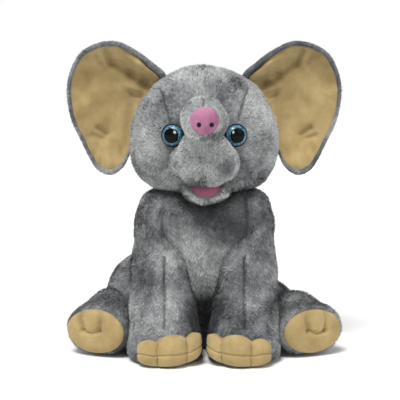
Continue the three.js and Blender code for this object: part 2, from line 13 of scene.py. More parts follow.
import bpy
import numpy as np
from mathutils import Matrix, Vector


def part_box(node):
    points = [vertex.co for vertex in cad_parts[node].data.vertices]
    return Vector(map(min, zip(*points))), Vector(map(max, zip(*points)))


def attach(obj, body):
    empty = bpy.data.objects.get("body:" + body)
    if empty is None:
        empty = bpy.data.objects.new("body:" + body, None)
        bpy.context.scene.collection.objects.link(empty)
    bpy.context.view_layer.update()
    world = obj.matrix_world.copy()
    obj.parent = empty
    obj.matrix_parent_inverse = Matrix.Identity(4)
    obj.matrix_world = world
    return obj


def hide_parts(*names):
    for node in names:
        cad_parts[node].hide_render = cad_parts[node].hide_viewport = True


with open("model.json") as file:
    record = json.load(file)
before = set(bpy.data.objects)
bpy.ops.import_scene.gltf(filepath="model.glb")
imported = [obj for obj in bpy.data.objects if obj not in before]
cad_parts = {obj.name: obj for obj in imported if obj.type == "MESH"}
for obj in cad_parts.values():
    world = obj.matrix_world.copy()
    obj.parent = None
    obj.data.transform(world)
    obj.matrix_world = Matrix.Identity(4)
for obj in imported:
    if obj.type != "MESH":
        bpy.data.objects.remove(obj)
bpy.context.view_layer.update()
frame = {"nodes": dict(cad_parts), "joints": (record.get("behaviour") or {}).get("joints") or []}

# %% [markdown]
# ## Places
# Sizes below are in millimetres and are turned to metres only when a mesh is made. The hinges, the eyes, the
# trunk's tip and the torso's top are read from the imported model, so a part that moves there takes its fabric
# with it.

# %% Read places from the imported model
MM = 0.001
SIDES = {"left": 1.0, "right": -1.0}


def corners(node):
    """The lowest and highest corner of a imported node, in millimetres."""
    return [np.array(corner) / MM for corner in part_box(node)]


def middle(node):
    """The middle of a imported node's box, in millimetres."""
    low, high = corners(node)
    return (low + high) / 2


def pivot(joint):
    """The point that a joint turns about, in millimetres."""
    return np.array(next(j["pos_m"] for j in frame["joints"] if j["name"] == joint)) / MM


HEAD = pivot("head_nod")
HEAD_HALF = np.array([87.0, 76.0, 76.0])
TIP_HALF = np.array([25.5, 24.0, 25.0])
TIP = middle("trunk_tip_patch") + [0, TIP_HALF[2], 0]
TIP[2] = corners("trunk_skin")[1][2] - TIP_HALF[2]
MUZZLE = pivot("trunk_bend")
SHOULDER = pivot("left_front_leg_swing")
HIP = pivot("left_hind_leg_lift")
TAIL = pivot("tail_swing")
TORSO_TOP = corners("torso_skin")[1][2]
Y_SHIFT = HEAD[1] + 5.0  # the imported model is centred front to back
print("head", HEAD, "muzzle", MUZZLE, "tip", TIP, "shoulder", SHOULDER, "hip", HIP, "top", TORSO_TOP)

# %% [markdown]
# ## The camera
# A product shot: a long lens a metre and a half away, as high as the tops of the ears and looking slightly
# down. It is made before the pieces, because it says how fine they have to be.

# %% Set up the camera
CAMERA_TARGET = Vector((-0.005, -0.018, 0.188))
CAMERA_DISTANCE = 1.5
CAMERA_RISE = math.radians(7)
camera_data = bpy.data.cameras.new("studio_camera")
camera_data.lens = 112.5
camera_data.sensor_width = 36
camera = bpy.data.objects.new("studio_camera", camera_data)
bpy.context.scene.collection.objects.link(camera)
away = Vector((0, -math.cos(CAMERA_RISE), math.sin(CAMERA_RISE)))
camera.location = CAMERA_TARGET + CAMERA_DISTANCE * away
camera.rotation_euler = (-away).to_track_quat("-Z", "Y").to_euler()
bpy.context.scene.camera = camera
frame_width = CAMERA_DISTANCE * camera_data.sensor_width / camera_data.lens / MM
print("the frame is", round(frame_width), "millimetres wide at the toy")

# %% [markdown]
# ## Soft shapes
# A stuffed limb is a sum of round lumps whose creases are filled out by the stuffing. So each shape is a
# distance function: negative inside, positive outside. Lumps are joined with a smooth minimum, which rounds
# the crease where they meet, and a flat seat or sole is the same thing the other way round.

# %% Distance functions
def ball(p, at, radii):
    """Near-distance to an ellipsoid: k0 (k0 - 1) / k1, with k0 the length of p over the radii and k1 that of
    p over the radii squared."""
    q = (p - at) / radii
    k0 = np.linalg.norm(q, axis=-1)
    k1 = np.linalg.norm(q / radii, axis=-1) + 1e-9
    return k0 * (k0 - 1) / k1


def melt(a, b, width):
    """Smooth union: the smaller of two distances, less a bump where they are within a width of each other."""
    share = np.clip(0.5 + 0.5 * (b - a) / width, 0, 1)
    return b * (1 - share) + a * share - width * share * (1 - share)


def trim(a, b, width):
    """Smooth cut: the larger of two distances, the mirror image of the smooth union."""
    return -melt(-a, -b, width)


def eased(levels, values, at, soften=0.05):
    """A profile drawn through a few points and rounded off: the straight lines between the points, averaged
    over a short stretch each side."""
    offsets = np.linspace(-soften, soften, 7)
    return sum(np.interp(at + offset, levels, values) for offset in offsets) / len(offsets)


def column(p, middle_x, middle_y, half_x, half_y):
    """Near-distance to an upright column whose oval section changes with height."""
    k = np.hypot((p[..., 0] - middle_x) / half_x, (p[..., 1] - middle_y) / half_y)
    return (k - 1) * np.minimum(half_x, half_y)


# %% [markdown]
# ## Patterns
# Dyed plush is never one colour: the pile lies over in patches, and each patch catches the light its own way.
# The same value noise makes the patches, the swirl of the pile and the slight lumpiness of the stuffing.

# %% Noise on whole arrays
TURN = np.array([[0.36, 0.48, -0.8], [-0.8, 0.6, 0.0], [0.48, 0.64, 0.6]])


def hashed(cell, seed):
    """A repeatable number from 0 to 1 for a lattice cell: the fraction of a large sine."""
    value = np.sin(cell @ np.array([127.1, 311.7, 74.7]) + seed * 19.19) * 43758.5453
    return value - np.floor(value)


def mottle(p, size, seed):
    """Value noise from -1 to 1: random numbers on a turned lattice, eased between a cell's eight corners."""
    q = p @ TURN / size + seed * 3.7
    cell = np.floor(q)
    part = q - cell
    part = part * part * (3 - 2 * part)
    total = np.zeros(p.shape[:-1])
    for corner in np.ndindex(2, 2, 2):
        share = np.prod(np.where(np.array(corner), part, 1 - part), axis=-1)
        total += share * hashed(cell + np.array(corner), seed)
    return 2 * total - 1


def swirl(p, size, seed):
    """Three noises side by side, as a wandering direction."""
    return np.stack([mottle(p, size, seed + i) for i in range(3)], axis=-1)


def unit(v):
    """Vectors scaled to length one."""
    return v / (np.linalg.norm(v, axis=-1, keepdims=True) + 1e-9)


def dot(a, b):
    """Dot product that keeps the last axis."""
    return np.sum(a * b, axis=-1, keepdims=True)


# %% [markdown]
# ## Surfaces from rays
# A limb has a line of stuffing down its middle, its spine. From the foot of the spine rays fan out below,
# along it they point sideways, and from its head they fan out above. Where each ray leaves the shape is one
# point of a two-parameter grid: the turn round the spine, and the place along it. Halving the ray again and
# again finds that place for the whole grid at once.

# %% Wrap a shape in a grid
UPRIGHT = np.eye(3)


def leave(field, centres, rays, reach):
    """Where rays leave a shape, by bisection: each pass keeps the half that holds the surface."""
    near = np.zeros(rays.shape[:-1])
    far = np.full(rays.shape[:-1], float(reach))
    for _ in range(20):
        half = (near + far) / 2
        inside = field(centres + rays * half[..., None]) < 0
        near = np.where(inside, half, near)
        far = np.where(inside, far, half)
    return centres + rays * far[..., None]


def wrap(field, spine, rows, columns, caps=(0.3, 0.3), axes=UPRIGHT, reach=170.0):
    """Closed grid round a spine. The tilt of the rays goes from -90 degrees to 0 over the first cap, stays at
    0 along the spine, and goes on to 90 degrees over the last cap. axes are sideways, sideways and along."""
    t = np.linspace(0, 1, rows)
    low, high = caps
    tilt = np.where(t < low, t / low - 1, np.where(t > 1 - high, (t - 1 + high) / high, 0)) * math.pi / 2
    along = np.clip((t - low) / max(1 - low - high, 1e-9), 0, 1)
    spine = np.array(spine, float)
    knots = np.linspace(0, 1, len(spine))
    centres = np.stack([np.interp(along, knots, spine[:, i]) for i in range(3)], axis=-1)[:, None, :]
    turn = np.linspace(0, 2 * math.pi, columns, endpoint=False)
    flat = np.cos(turn)[:, None] * axes[0] + np.sin(turn)[:, None] * axes[1]
    rays = np.cos(tilt)[:, None, None] * flat + np.sin(tilt)[:, None, None] * axes[2]
    return leave(field, np.broadcast_to(centres, rays.shape), rays, reach)


def grid_normals(grid):
    """Outward normals of a closed grid: the cross product of its two directions, smoothed at the poles."""
    round_it = np.roll(grid, -1, axis=1) - np.roll(grid, 1, axis=1)
    normals = unit(np.cross(round_it, np.gradient(grid, axis=0)))
    normals[0] = unit(normals[1].mean(axis=0))
    normals[-1] = unit(normals[-2].mean(axis=0))
    return normals


# %% Turn a grid into a piece
def add_piece(name, vertices, faces, material, body, smooth=True):
    """A mesh object in metres that rides on a body and takes the material that it is given."""
    mesh = bpy.data.meshes.new(name)
    mesh.from_pydata((np.asarray(vertices) * MM).tolist(), [], faces)
    mesh.materials.append(material)
    mesh.polygons.foreach_set("use_smooth", [smooth] * len(mesh.polygons))
    piece = bpy.data.objects.new(name, mesh)
    bpy.context.scene.collection.objects.link(piece)
    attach(piece, body)
    print(name, len(mesh.polygons), "faces")
    return piece


def skin_piece(name, grid, material, body, tone=None):
    """A closed grid as a piece: its first and last row shrink to one vertex each, and the rest are quads."""
    rows, columns = grid.shape[:2]
    vertices = np.concatenate([grid[:1, 0], grid[1:-1].reshape(-1, 3), grid[-1:, 0]])
    index = 1 + np.arange((rows - 2) * columns).reshape(rows - 2, columns)
    nexts = np.roll(index, -1, axis=1)
    quads = np.stack([index[:-1], nexts[:-1], nexts[1:], index[1:]], axis=-1).reshape(-1, 4)
    last = len(vertices) - 1
    foot = np.stack([np.zeros(columns, int), nexts[0], index[0]], axis=-1)
    top = np.stack([np.full(columns, last), index[-1], nexts[-1]], axis=-1)
    piece = add_piece(name, vertices, quads.tolist() + foot.tolist() + top.tolist(), material, body)
    if tone is not None:
        values = np.concatenate([tone[:1, 0], tone[1:-1].ravel(), tone[-1:, 0]])
        paint(piece, values)
    return piece


def paint(piece, values):
    """Stores one number for each vertex, which the plush's colour ramp reads."""
    layer = piece.data.attributes.new("tone", "FLOAT", "POINT")
    layer.data.foreach_set("value", values.astype(np.float32))


# %% [markdown]
# ## Plush and its colours
# A ramp from dark roots to pale tips gives the pile its depth. The number that it reads is stored on each
# blade: dark at the root, paler at the tip, shifted patch by patch. Sheen stands for the soft edge of light
# on the fibres. The backing under the pile has the same ramp and a fine bump, like pile seen from afar.

# %% Shader helpers
def linear(colour):
    """A colour as seen on a screen, from 0 to 255, in the linear numbers that shaders use."""
    share = np.array(colour) / 255
    return [*np.where(share <= 0.04045, share / 12.92, ((share + 0.055) / 1.055) ** 2.4), 1.0]


def new_material(name, roughness, sheen=0.0, specular=0.2):
    """A material with a Principled shader whose even values sit on its own sockets."""
    material = bpy.data.materials.new(name)
    material.use_nodes = True
    shader = material.node_tree.nodes["Principled BSDF"]
    shader.inputs["Roughness"].default_value = roughness
    shader.inputs["Specular IOR Level"].default_value = specular
    shader.inputs["Sheen Weight"].default_value = sheen
    shader.inputs["Sheen Roughness"].default_value = 0.45
    return material, shader


def add_node(material, kind, **settings):
    """A shader node with its properties set."""
    node = material.node_tree.nodes.new(kind)
    for name, value in settings.items():
        setattr(node, name, value)
    return node


def add_ramp(material, source, stops):
    """A colour ramp from (place, colour) stops, fed by a number."""
    ramp = add_node(material, "ShaderNodeValToRGB")
    elements = ramp.color_ramp.elements
    while len(elements) < len(stops):
        elements.new(1.0)
    for element, (place, colour) in zip(elements, stops):
        element.position = place
        element.color = linear(colour)
    material.node_tree.links.new(source, ramp.inputs["Fac"])
    return ramp.outputs["Color"]


def colour_by(material, shader, value, stops):
    """The shader's colour, read from a number through a colour ramp."""
    material.node_tree.links.new(add_ramp(material, value, stops), shader.inputs["Base Color"])


def noise(material, scale, detail=3.0, roughness=0.6):
    """Noise on the piece's own coordinates: scale is in lumps for each metre."""
    place = add_node(material, "ShaderNodeTexCoord")
    texture = add_node(material, "ShaderNodeTexNoise")
    texture.inputs["Scale"].default_value = scale
    texture.inputs["Detail"].default_value = detail
    texture.inputs["Roughness"].default_value = roughness
    material.node_tree.links.new(place.outputs["Object"], texture.inputs["Vector"])
    return texture.outputs["Fac"]


def add_bump(material, shader, height, strength, depth_mm):
    """A bump of a real depth on the shader's normal."""
    bump = add_node(material, "ShaderNodeBump")
    bump.inputs["Strength"].default_value = strength
    bump.inputs["Distance"].default_value = depth_mm * MM
    material.node_tree.links.new(height, bump.inputs["Height"])
    material.node_tree.links.new(bump.outputs["Normal"], shader.inputs["Normal"])


def blend_numbers(material, a, b, share):
    """A weighted sum of two numbers: a (1 - share) + b share."""
    mix = add_node(material, "ShaderNodeMix", data_type="FLOAT")
    mix.inputs["Factor"].default_value = share
    material.node_tree.links.new(a, mix.inputs["A"])
    material.node_tree.links.new(b, mix.inputs["B"])
    return mix.outputs["Result"]


# %% The grey plush
GREY_STOPS = [
    (0.0, (62, 63, 65)), (0.25, (102, 104, 106)), (0.5, (146, 148, 149)),
    (0.75, (184, 186, 185)), (1.0, (214, 216, 214)),
]


def plush(name, bumpy):
    """Grey plush: the stored tone through the ramp, with a bump of fine clumps on the backing."""
    material, shader = new_material(name, 0.95, sheen=0.12, specular=0.1)
    tone = add_node(material, "ShaderNodeAttribute", attribute_name="tone")
    value = tone.outputs["Fac"]
    if bumpy:
        grain = noise(material, 420.0)
        value = blend_numbers(material, value, grain, 0.25)
        add_bump(material, shader, grain, 0.8, 1.2)
    colour_by(material, shader, value, GREY_STOPS)
    return material


grey_backing = plush("grey_backing", True)
grey_pile = plush("grey_pile", False)

# %% [markdown]
# ## Planting the pile
# Real plush has far more fibres than could be drawn one by one. What the eye sees is their clumps, so each
# blade stands for a tuft: three triangles that taper to a point. A blade leans along the lie
# of the pile, wanders with the swirl, and its tip is drawn to the middle of its clump. Its shading normal
# is mostly the skin's own, because light in plush scatters from fibre to fibre and comes out soft.

# %% Sow places on a grid
def sow(grid, count, seed, normals=None):
    """Random places on a closed grid, evenly by area: quads are drawn in proportion to their area, and a
    place is mixed from the quad's four corners."""
    rng = np.random.default_rng(seed)
    normals = grid_normals(grid) if normals is None else normals
    quads = [(grid[:-1], normals[:-1]), (np.roll(grid, -1, 1)[:-1], np.roll(normals, -1, 1)[:-1]),
             (np.roll(grid, -1, 1)[1:], np.roll(normals, -1, 1)[1:]), (grid[1:], normals[1:])]
    flat = [(p.reshape(-1, 3), n.reshape(-1, 3)) for p, n in quads]
    diagonals = np.cross(flat[2][0] - flat[0][0], flat[3][0] - flat[1][0])
    areas = np.linalg.norm(diagonals, axis=-1) / 2
    total = np.cumsum(areas)
    chosen = np.searchsorted(total, rng.random(count) * total[-1])
    u, v = rng.random((2, count, 1))
    shares = [(1 - u) * (1 - v), u * (1 - v), u * v, (1 - u) * v]
    spots = sum(share * p[chosen] for share, (p, _) in zip(shares, flat))
    facing = unit(sum(share * n[chosen] for share, (_, n) in zip(shares, flat)))
    return spots, facing, total[-1]


# %% Grow the blades
def grow_pile(name, body, slot, spots, facing, comb, length, tone, seed,
              width=0.62, lean=1.35, clump=3.4, pull=0.42, material=grey_pile):
    """Blades of three triangles each. Direction: normal + lean (comb + swirl) + a little chance; the
    tip bends further along the comb and is pulled towards the middle of its clump's cell."""
    rng = np.random.default_rng(seed)
    count = len(spots)
    length = np.broadcast_to(length, (count,))[:, None] * rng.uniform(0.75, 1.2, (count, 1))
    lie = comb + 0.8 * swirl(spots, 24, seed) + 0.35 * swirl(spots, 9, seed + 5)
    lie = lie - dot(lie, facing) * facing
    lie = lie / np.maximum(1, np.linalg.norm(lie, axis=-1, keepdims=True))
    way = unit(facing + lean * lie + rng.normal(0, 0.16, (count, 3)))
    root = spots - 0.8 * facing
    bend = root + way * length * 0.5
    tip = bend + unit(way + 0.35 * lean * lie) * length * 0.5
    place = tip @ TURN / clump + 0.35 * swirl(tip, 2.5 * clump, seed + 9)
    cell = np.floor(place)
    jitter = np.stack([hashed(cell, seed + i) for i in (20, 21, 22)], axis=-1) - 0.5
    towards = ((cell + 0.5 + 0.5 * jitter - place) * clump) @ TURN.T
    towards = towards - dot(towards, facing) * facing
    bend = bend + 0.3 * pull * towards
    tip = tip + pull * towards
    side = unit(np.cross(way, facing) + 0.35 * rng.normal(0, 1, (count, 3)))
    wide = 0.5 * width * rng.uniform(0.8, 1.25, (count, 1))
    points = np.stack([root - side * wide, root + side * wide, bend - side * wide * 0.9,
                       bend + side * wide * 0.9, tip], axis=1)
    first = 5 * np.arange(count)[:, None, None]
    faces = (first + np.array([[0, 1, 3], [0, 3, 2], [2, 3, 4]])).reshape(-1, 3)
    piece = add_piece(name, points.reshape(-1, 3), faces.tolist(), material, body)
    clump_tone = 0.24 * (hashed(cell, seed + 30) - 0.5)
    base = (tone + clump_tone + rng.normal(0, 0.07, count))[:, None]
    rise = np.array([-0.34, -0.34, -0.04, -0.04, 0.09])
    paint(piece, np.clip(base + rise, 0, 1).ravel())
    flat_side = unit(np.cross(side, way))
    flat_side = flat_side * np.sign(dot(flat_side, facing) + 1e-9)
    soft = unit(facing + 0.45 * flat_side)
    piece.data.normals_split_custom_set_from_vertices(np.repeat(soft, 5, axis=0).tolist())
    return piece


# Some of these patches are dye; the dark ones under the chin, on the muzzle beside the trunk's tip and low on
# the haunches are painted shade.
DYE_AND_SHADE_PATCHES = [  # across, up, reach and shift of the tone, for the patches that show from the front
    (13, 331, 24, 0.16), (-31, 314, 20, -0.16), (-60, 272, 22, 0.10), (66, 296, 24, 0.14),
    (70, 258, 17, -0.14), (-64, 220, 24, -0.14), (56, 214, 22, -0.16), (24, 234, 10, -0.4),
    (-6, 250, 9, -0.10), (-76, 150, 17, 0.22), (-66, 182, 16, 0.14), (8, 182, 26, -0.26),
    (30, 160, 20, -0.22), (14, 146, 18, -0.12), (-20, 130, 20, 0.20), (4, 104, 20, 0.14),
    (-84, 70, 16, 0.12), (-76, 106, 16, -0.14), (-42, 80, 16, 0.20), (-30, 50, 13, -0.18),
    (-38, 34, 12, 0.12), (32, 102, 15, -0.18), (56, 70, 16, 0.20), (66, 132, 18, -0.26),
    (26, 38, 13, -0.18), (66, 42, 12, 0.12), (-104, 84, 20, -0.4), (92, 82, 18, -0.36),
    (78, 100, 12, 0.12), (60, 186, 16, -0.08),
]


def dye_and_shade(p, seed=1.0):
    """The plush's tone, from 0 to 1: four sizes of noise for the dye, and the front's own patches as bell
    curves, part dye and part painted shade, less a painted shade low between the front legs.
    """
    tone = 0.53 + 0.2 * mottle(p, 38, seed) + 0.13 * mottle(p, 18, seed + 3)
    tone = tone + 0.11 * mottle(p, 8, seed + 6) + 0.09 * mottle(p, 4.2, seed + 8)
    ahead = np.clip((10 - p[..., 1]) / 40, 0, 1)
    for x, z, reach, shift in DYE_AND_SHADE_PATCHES:
        tone = tone + ahead * shift * np.exp(-((p[..., 0] - x) ** 2 + (p[..., 2] - z) ** 2) / reach**2)
    # Painted shade: the pile low between the front legs, behind their fronts, is darkened as if in the belly's
    # shadow.
    arch = np.clip((92 - p[..., 2]) / 30, 0, 1) * np.clip((34 - np.abs(p[..., 0])) / 12, 0, 1)
    return tone - 0.5 * arch * np.clip((p[..., 1] + 66) / 10, 0, 1)


def near_line(p, points, width):
    """1 on a seam that runs through some points and 0 away from it: a bell curve of the distance to it."""
    points = np.array(points, float)
    nearest = np.full(p.shape[:-1], 1e9)
    for a, b in zip(points[:-1], points[1:]):
        share = np.clip((p - a) @ (b - a) / ((b - a) @ (b - a)), 0, 1)[..., None]
        nearest = np.minimum(nearest, np.linalg.norm(p - a - share * (b - a), axis=-1))
    return np.exp(-((nearest / width) ** 2))


def mirrored(points, side):
    """Points on the left, or their mirror image on the right."""
    return [np.array(point) * [side, 1, 1] for point in points]


# %% [markdown]
# ## Forms
# One function for each stuffed form. They are kept apart from the meshes because the pile asks them where
# a neighbour covers it: a blade that would grow inside another limb is left out.

# %% The torso and the head as distances
HAUNCHES = {  # by side, the height of the middle and the half sizes: the filling isn't quite even
    1.0: (38.0, np.array([39.0, 48.0, 42.0])),
    -1.0: (58.0, np.array([45.0, 48.0, 54.0])),
}
JAW = np.array([2, Y_SHIFT - 60, 205.0])
JAW_HALF = np.array([26.0, 27.5, 16.0])
LIP_ROOM = [16, 9, 6]  # how much larger than the jaw the hollow in the chest is


def torso_form(p):
    """A pear of oval sections, with a round haunch on each side, full shoulders and chest, a hollow under the
    lower lip and an arch scooped out between the legs."""
    level = p[..., 2] / TORSO_TOP
    share = eased(
        [0, 0.06, 0.22, 0.46, 0.7, 0.88, 0.96, 1], [0.8, 0.93, 1, 0.96, 0.8, 0.7, 0.6, 0.44], level, 0.04)
    middle_y = Y_SHIFT + 24 - 20 * level
    body = column(p, 0.0, middle_y, 82.0 * share, 70.0 * share)
    for side, (height, half) in HAUNCHES.items():
        body = melt(body, ball(p, np.array([side * 77, Y_SHIFT + 24, height]), half), 16)
    body = melt(body, ball(p, np.array([0, Y_SHIFT - 8, 142]), np.array([52.0, 50.0, 58.0])), 22)
    for side in SIDES.values():
        body = melt(body, ball(p, np.array([side * 44, Y_SHIFT - 18, 163]), np.array([37.0, 43.0, 46.0])), 20)
    body = trim(body, p[..., 2] - TORSO_TOP + 2, 14)
    body = trim(body, -ball(p, JAW, JAW_HALF + LIP_ROOM), 8)
    body = trim(body, -ball(p, np.array([0, Y_SHIFT - 66, 20]), np.array([42, 52, 62])), 14)
    return trim(body, 1.5 - p[..., 2], 10)


def head_form(p):
    """A round head with full cheeks low at the sides and a slightly flattened crown."""
    form = ball(p, HEAD, HEAD_HALF - [4.0, 2.0, 1.5])
    for side in SIDES.values():
        cheek = HEAD + [side * 38, -6, -26]
        form = melt(form, ball(p, cheek, np.array([48.0, 58.0, 49.0])), 22)
    return form


def jaw_form(p):
    """The lower lip: a small oval under the muzzle."""
    return ball(p, JAW, JAW_HALF)


# %% The trunk and the legs as distances
def trunk_form(p):
    """A wide muzzle, a narrower bend and the round upturned tip, with a notch on top where the seam ends."""
    form = ball(p, MUZZLE, np.array([40.0, 32.0, 28.0]))
    bend = np.array([0, MUZZLE[1] - 20, MUZZLE[2] + 18])
    form = melt(form, ball(p, bend, np.array([27.0, 20.0, 22.0])), 14)
    form = melt(form, ball(p, TIP, TIP_HALF), 5)
    notch = np.exp(-((p[..., 0] / 2.2) ** 2)) * np.clip((p[..., 2] - TIP[2] - 8) / 10, 0, 1)
    return form + 2.6 * notch


FOOT = np.array([46.0, Y_SHIFT - 62, 18.0])
SHOULDER_HALF = np.array([33.0, 36.0, 36.0])


def front_leg_form(p, side):
    """A column from a ball in the shoulder down to a flat foot that flares."""
    level = np.clip(p[..., 2] / SHOULDER[2], -0.2, 1.2)
    along = 1 - np.clip(level, 0, 1)
    middle_x = side * eased([0, 0.2, 0.4, 0.64, 0.85, 1], [46.5, 47, 49.5, 51, 50.5, 50], level)
    middle_y = SHOULDER[1] + (FOOT[1] - SHOULDER[1]) * along
    share = eased([0, 0.07, 0.16, 0.34, 0.6, 0.85, 0.97], [0.93, 0.97, 0.93, 0.84, 0.86, 0.9, 0.8], level)
    half_x = eased([0, 0.07, 0.2, 0.4, 0.64, 0.85, 1], [42, 43.5, 41.5, 38, 36.5, 34, 28], level)
    half_y = (37.0 + 5.5 * along) * share
    form = column(p, middle_x, middle_y, half_x, half_y)
    form = trim(form, p[..., 2] - SHOULDER[2], 6)
    form = melt(form, ball(p, SHOULDER * [side, 1, 1], SHOULDER_HALF), 8)
    return trim(form, 1.0 - p[..., 2], 12)


SPLAY = math.radians(24)
HIND_LENGTH = 50.0  # from the middle of the hip to the sole
SOLE_DROP = 8.0  # how far the leg's middle line sinks on the way there


def hind_axes(side):
    """Across, up and ahead along a hind leg, which lies splayed on the floor."""
    ahead = np.array([side * math.sin(SPLAY), -math.cos(SPLAY), 0.0])
    up = np.array([0.0, 0.0, 1.0])
    return np.array([np.cross(up, ahead), up, ahead])


def hind_leg_form(p, side):
    """A short thick column that lies ahead from the hip and ends in a flat sole."""
    across, up, ahead = hind_axes(side)
    q = p - HIP * [side, 1, 1]
    along = q @ ahead
    share = np.clip(along / HIND_LENGTH, 0, 1)
    half_x = eased([0, 0.5, 0.85, 1], [34.0, 38.0, 42.5, 42.0], share)
    sunk = 5.0 if side > 0 else 0.0  # the filling of this hip has settled
    half_z = eased([0, 0.5, 0.85, 1], [33.0 - sunk, 31.0 - 0.4 * sunk, 30.5, 30.0], share)
    k = np.hypot((q @ across) / half_x, (q @ up + SOLE_DROP * share) / half_z)
    form = (k - 1) * half_z
    form = trim(form, along - HIND_LENGTH, 9)
    form = trim(form, -along, 6)
    form = melt(form, ball(q, np.zeros(3), np.array([35.0, 35.0, 35.0 - sunk])), 6)
    return trim(form, 1.0 - p[..., 2], 8)


# %% [markdown]
# ## The torso
# The body is cut from two side panels, a back and a chest inset, so seams run down the chest to the legs.
# Along a seam the pile parts and lies flat, which shows as a thin dark line.

# %% Make the torso
def on_front(form, points):
    """Seam points from (across, up) pairs, each at the foremost place of a form, found on a row of steps."""
    steps = np.linspace(-200, 20, 900)
    seam = []
    for x, z in points:
        line = np.stack([0 * steps + x, steps, 0 * steps + z], axis=-1)
        seam.append((x, steps[np.argmax(form(line) < 0)] - Y_SHIFT, z))
    return seam


CHEST_LINE = [(48, 194), (50, 178), (50, 160), (47, 145), (39, 133), (29, 123), (22, 108)]
CHEST_SEAM = on_front(torso_form, CHEST_LINE)
LEG_JOIN = on_front(torso_form, [(47, 147), (47, 136), (47, 124)])  # runs on down the front leg


def seamed(p, seams, width):
    """How close a place is to any of some seams, on both sides of the toy."""
    total = np.zeros(p.shape[:-1])
    for seam in seams:
        for side in SIDES.values():
            points = [np.array(point) + [0, Y_SHIFT, 0] for point in mirrored(seam, side)]
            total = np.maximum(total, near_line(p, points, width))
    return total


def lumpy(form, amount, size, seed):
    """A form whose stuffing is slightly uneven: the distance plus a little noise."""
    return lambda p: form(p) + amount * mottle(p, size, seed)


def covered(p, forms, depth):
    """True where a place lies deeper than this inside any of some forms."""
    result = np.zeros(len(p), bool)
    for form in forms:
        result |= form(p) < -depth
    return result


torso_spine = [(0, Y_SHIFT + 20, 45), (0, Y_SHIFT + 12, 110), (0, Y_SHIFT + 8, 165)]
torso_grid = wrap(lumpy(torso_form, 0.9, 26, 4), torso_spine, 130, 200, caps=(0.3, 0.2))
torso_tone = dye_and_shade(torso_grid, 2.0) - 0.2 - 0.6 * seamed(torso_grid, [CHEST_SEAM, LEG_JOIN], 2.5)
torso = skin_piece("torso", torso_grid, grey_backing, "torso", torso_tone)
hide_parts("torso_skin", "torso_stuffing")

# %% Grow the torso's pile
DENSITY = 1.05  # blades on a square millimetre


def comb_down(spots):
    """The pile of the body lies down and slightly back."""
    return np.broadcast_to(np.array([0.0, 0.12, -0.75]), spots.shape)


def plant(name, body, grid, seed, hidden=(), hidden_depth=2.5, length=4.6, seams=(), shade=0.0, keep=None,
          comb=comb_down, slot="grey_plush", dye_seed=2.0, density=1.0, **blades):
    """Sows a grid, leaves out what a neighbour hides, paints shade on the pile beside a neighbour, darkens it
    along seams, where it is also shorter, and grows it."""
    area = sow(grid, 10, seed)[2]
    spots, facing, _ = sow(grid, int(area * DENSITY * density), seed)
    parting = seamed(spots, seams, 1.9) if seams else np.zeros(len(spots))
    bare = covered(spots, hidden, hidden_depth) | (spots[:, 2] < 1.0) | (parting > 0.72)
    if keep is not None:
        bare |= ~keep(spots)
    spots, facing, parting = spots[~bare], facing[~bare], parting[~bare]
    tone = dye_and_shade(spots, dye_seed) + shade - 0.36 * parting
    # Painted shade: the pile darkens within a few millimetres of a neighbouring form, in the crease where they
    # meet.
    for form in hidden:
        tone = tone - 0.3 * np.exp(-((np.clip(form(spots), 0, None) / 6) ** 2))
    floor_room = np.clip((spots[:, 2] - 1) / 8, 0.35, 1)
    size = length * (1 - 0.6 * parting) * floor_room
    return grow_pile(name, body, slot, spots, facing, comb(spots), size, tone, seed, **blades)


shoulders = [lambda p, s=side: ball(p, SHOULDER * [s, 1, 1], SHOULDER_HALF) for side in (1, -1)]
hips = [lambda p, s=side: ball(p, HIP * [s, 1, 1], np.array([34.0, 34.0, 34.0])) for side in (1, -1)]
for label, side in SIDES.items():
    plant(f"torso_pile_{label}", "torso", torso_grid, 11 + int(side), [head_form, *shoulders, *hips], 3.0,
          seams=[CHEST_SEAM, LEG_JOIN], keep=lambda p, s=side: (p[:, 0] * s > -1.3) & (p[:, 2] > 2))

# %% [markdown]
# ## The head
# Two cheeks, a crown and a seam that runs from each ear over the brow to the eye. The eye presses the
# fabric in, so the head is dented round it, and no pile grows under the eye or in the mouth.

# %% Make the head
EYE_RADIUS = 12.6
EYE_FACE = {side: middle(f"{label}_eye_iris") for label, side in SIDES.items()}
BROW_LINE = [(57, 331), (52, 321), (47, 311), (43, 300), (40, 290), (38, 281)]
BROW_SEAM = on_front(head_form, BROW_LINE)


def eye_dent(p):
    """A shallow hollow round each eye: a bell curve of the distance to the eye's middle."""
    return sum(np.exp(-((np.linalg.norm(p - EYE_FACE[s], axis=-1) / 17) ** 2)) for s in EYE_FACE)


def head_surface(p):
    """The head with its eye hollows, its brow seams and a slightly uneven filling."""
    seam = seamed(p, [BROW_SEAM], 3.0)
    return head_form(p) + 2.6 * eye_dent(p) + 1.0 * seam + 0.8 * mottle(p, 24, 8)


head_grid = wrap(head_surface, [HEAD, HEAD], 150, 220, caps=(0.5, 0.5), reach=120)
head_tone = dye_and_shade(head_grid, 5.0) - 0.16 - 0.5 * seamed(head_grid, [BROW_SEAM], 2.5)
head = skin_piece("head", head_grid, grey_backing, "head", head_tone)
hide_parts("head_skin", "head_stuffing")


def clear_of_eyes(p):
    """True where a blade doesn't stand in front of an eye."""
    away = [np.linalg.norm(p - EYE_FACE[s], axis=-1) > EYE_RADIUS for s in EYE_FACE]
    return away[0] & away[1]


def comb_face(spots):
    """The pile of the head lies away from the muzzle, back over the cheeks and the crown."""
    return 0.75 * unit(spots - MUZZLE - [0, 0, 12]) + [0, 0.1, -0.2]


